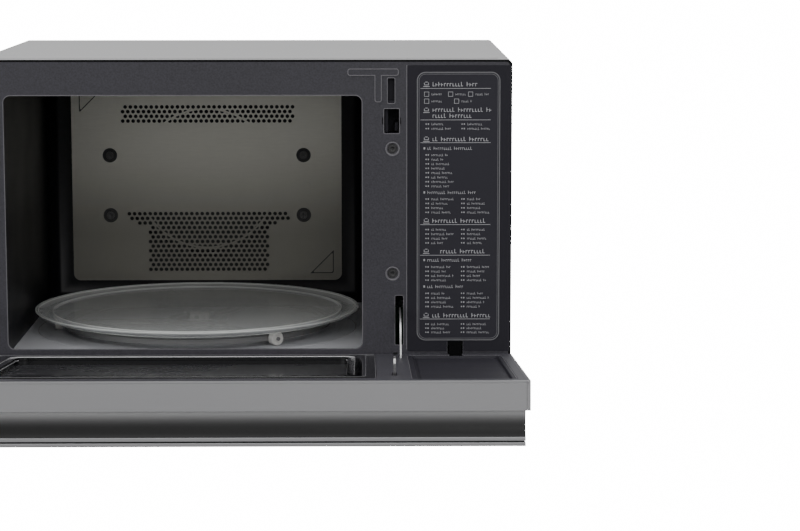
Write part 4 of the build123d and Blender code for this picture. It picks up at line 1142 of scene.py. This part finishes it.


# the outer face: a dark pane, its display with four plain unlit digits, and a line around the window
def buildOuterFace():
    d = door
    pane = laidBlock("outerPane", -d["side"] + 0.2, d["side"] - 0.2, d["low"], d["top"] - 4.3, d["down"],
                     d["down"] + 4)
    cuts = [addRod("hole", (x * mm, -out * mm, -0.03), (x * mm, -out * mm, -0.01), r * mm, 48)
            for (x, out), r in ((buttonsAt["start"], 11.3), (buttonsAt["stop"], 11.3), ((213, 150), 6))]
    for side in ("right", "left"):
        cuts.append(laidBlock("lugGap", lugX[side] - 1.9, lugX[side] + 1.9, -6, 1, -30, 8))
    carve(pane, *cuts)
    soften(pane, 0.5 * mm, 3)
    finishDoor(pane, "blackGlass", "outer_door_glass")
    (x0, x1), (s0, s1) = displayShape["x"], displayShape["out"]
    screen = laidBlock("display", x0, x1, s0, s1, -18.8, -14, 2)
    finishDoor(soften(screen, 0.3 * mm, 2), "gloss", "display_window")
    marks = []

    def mark(name, x, y, wide, tall, radius=0.3):
        marks.append(laidBlock(name, x - wide, x + wide, y - tall, y + tall, d["down"] - 0.08,
                               d["down"] + 0.1, radius))

    for x in (190, 203, 217, 230):
        for y in (216, 225, 234):
            mark("segment", x, y, 2.6, 0.5)
        for dx in (-3.4, 3.4):
            for y in (220.5, 229.5):
                mark("segment", x + dx, y, 0.5, 3.6)
    for y in (221.5, 228.5):
        mark("colon", 210.1, y, 0.7, 0.7, 0.4)
    depths = (d["down"] - 0.06, d["down"] + 0.1)
    marks.append(laidRing("windowLine", (-225, 105), (32, 250), depths, 8, 1, 7, 5))
    finishDoor(joinUp("faceMarks", marks), "line")


buildDoorInner()
buildChoke()
buildTray()
buildTrim()
buildHandle()
buildLinks()
buildHooks()
buildDial()
buildButtons()
buildOuterFace()
print("door made")

# ---- rear and underside ----
rear = {"cover": (-212, 88, 60, 284), "bulge": 55, "taper": 13.7, "coverR": 16, "skin": 1}


# the pressed housing over the fan motor, tapered towards the rear and slotted
def buildRearCover():
    r = rear
    x0, x1, z0, z1 = r["cover"]

    def hood(grow, y0, y1, radius):
        piece = bodyBlock("hood", x0 - grow, x1 + grow, y0, y1, z0 - grow, z1 + grow, radius, steps=8)
        edit(piece, "FACE")
        selectWhere(piece, "faces", lambda f: f.normal.y > 0.9)
        fit = [1 - 2 * r["taper"] / (b - a) for a, b in ((x0, x1), (z0, z1))]
        middle = at((x0 + x1) / 2, y1, (z0 + z1) / 2)
        bpy.ops.transform.resize(value=(fit[0], 1, fit[1]), center_override=middle)
        done()
        return piece

    cover = hood(0, 397, 397 + r["bulge"], r["coverR"])
    carve(cover, hood(-2, 396, 396 + r["bulge"] - 0.2, r["coverR"] - 2))
    spots = [(-62 + 14 * i, 172 + 26 * j) for i in range(-5, 6) for j in (-1, 0, 1)]
    slots = [bodyBlock("slot", x - 2, x + 2, 445, 460, z - 10, z + 10, 1.9) for x, z in spots]
    carve(cover, joinUp("slots", slots))
    finishPiece(soften(cover, 1.2 * mm, 4), "zinc", "body", "rear_fan_cover")


footProfile = ((0, 1.2), (8, 1.2), (8.6, 0), (10.4, 0), (11.6, 1.0), (12, 2.5), (12, 14), (0, 14))


def buildFeet():
    feet = []
    for x in (-225, 225):
        for y in (45, 352):
            foot = addTurned("foot", at(x, y, 0), footProfile, 48)
            feet.append(foot)
    finishPiece(joinUp("rubberFeet", feet), "rubber", "body", "feet")


# the moulded collar where the supply lead would enter
def buildGland():
    centre = at(-225, 397, 60)
    profile = ((3.2, -4), (5, -4), (5, 0), (9, 0), (9, 2.6), (7.6, 4), (6, 4), (5.2, 3.4), (3.2, 3.4),
               (3.2, -4))
    collar = addTurned("gland", (0, 0, 0), profile, 48)
    collar.rotation_euler = (-math.pi / 2, 0, 0)
    collar.location = centre
    settle(collar)
    finishPiece(collar, "rubber", "body", "cord_gland")


buildRearCover()
buildFeet()
buildGland()
print("rear made")

# ---- studio ----
studio = {"lens": 110.7, "cameraX": 0.123, "cameraBack": 2.46, "cameraZ": 0.472, "pitch": 8.1, "yaw": 0.8,
          "floorGrey": 0.14, "sky": 0.85, "white": 16.0}


def addLight(name, place, target, size, watts):
    clearAll()
    bpy.ops.object.light_add(type="AREA", location=place)
    light = bpy.context.object
    light.name = name
    light.data.shape = "RECTANGLE"
    light.data.size, light.data.size_y = size
    light.data.energy = watts
    way = Vector(target) - Vector(place)
    light.rotation_euler = way.to_track_quat("-Z", "Y").to_euler()
    return light


# a surface that is plain white to the camera and keeps its own look for everything else
def whiteToCamera(s, glowKind, output):
    path = s.node("LightPath")
    glow = s.node(glowKind, {}, {"Color": (1, 1, 1, 1), "Strength": studio["white"]})
    plain = Value(s, s.surface.outputs[0])
    mix = s.node("MixShader", {}, {0: path, 1: plain, 2: glow})
    s.tree.links.new(mix.socket, s.tree.nodes[output].inputs["Surface"])


def buildStudio():
    clearAll()
    bpy.ops.object.camera_add(location=(studio["cameraX"], faceY - studio["cameraBack"], studio["cameraZ"]))
    camera = bpy.context.object
    camera.rotation_euler = (math.radians(90 - studio["pitch"]), 0, math.radians(-studio["yaw"]))
    camera.data.lens = studio["lens"]
    bpy.context.scene.camera = camera
    clearAll()
    bpy.ops.mesh.primitive_plane_add(size=30, location=(0, 0, 0))
    floor = bpy.context.object
    floor.name = "floor"
    s = Shader("floorPaper")
    floor.data.materials.append(s.set(base=grey(studio["floorGrey"]), rough=0.9))
    whiteToCamera(s, "Emission", "Material Output")
    world = bpy.data.worlds.new("studioSky")
    sky = Shader("studioSky", world)
    sky.surface.inputs["Color"].default_value = (1, 1, 1, 1)
    sky.surface.inputs["Strength"].default_value = studio["sky"]
    whiteToCamera(sky, "Background", "World Output")
    bpy.context.scene.world = world
    addLight("softAbove", (0.2, -0.6, 2.6), (0, 0, 0.2), (2.4, 1.6), 24)
    addLight("softLeft", (-2.4, -1.6, 1.4), (0, 0, 0.2), (1.4, 1.8), 18)
    addLight("softFront", (0.9, -2.8, 1.5), (0, 0, 0.15), (1.4, 1.4), 14)


buildStudio()
print("studio made")
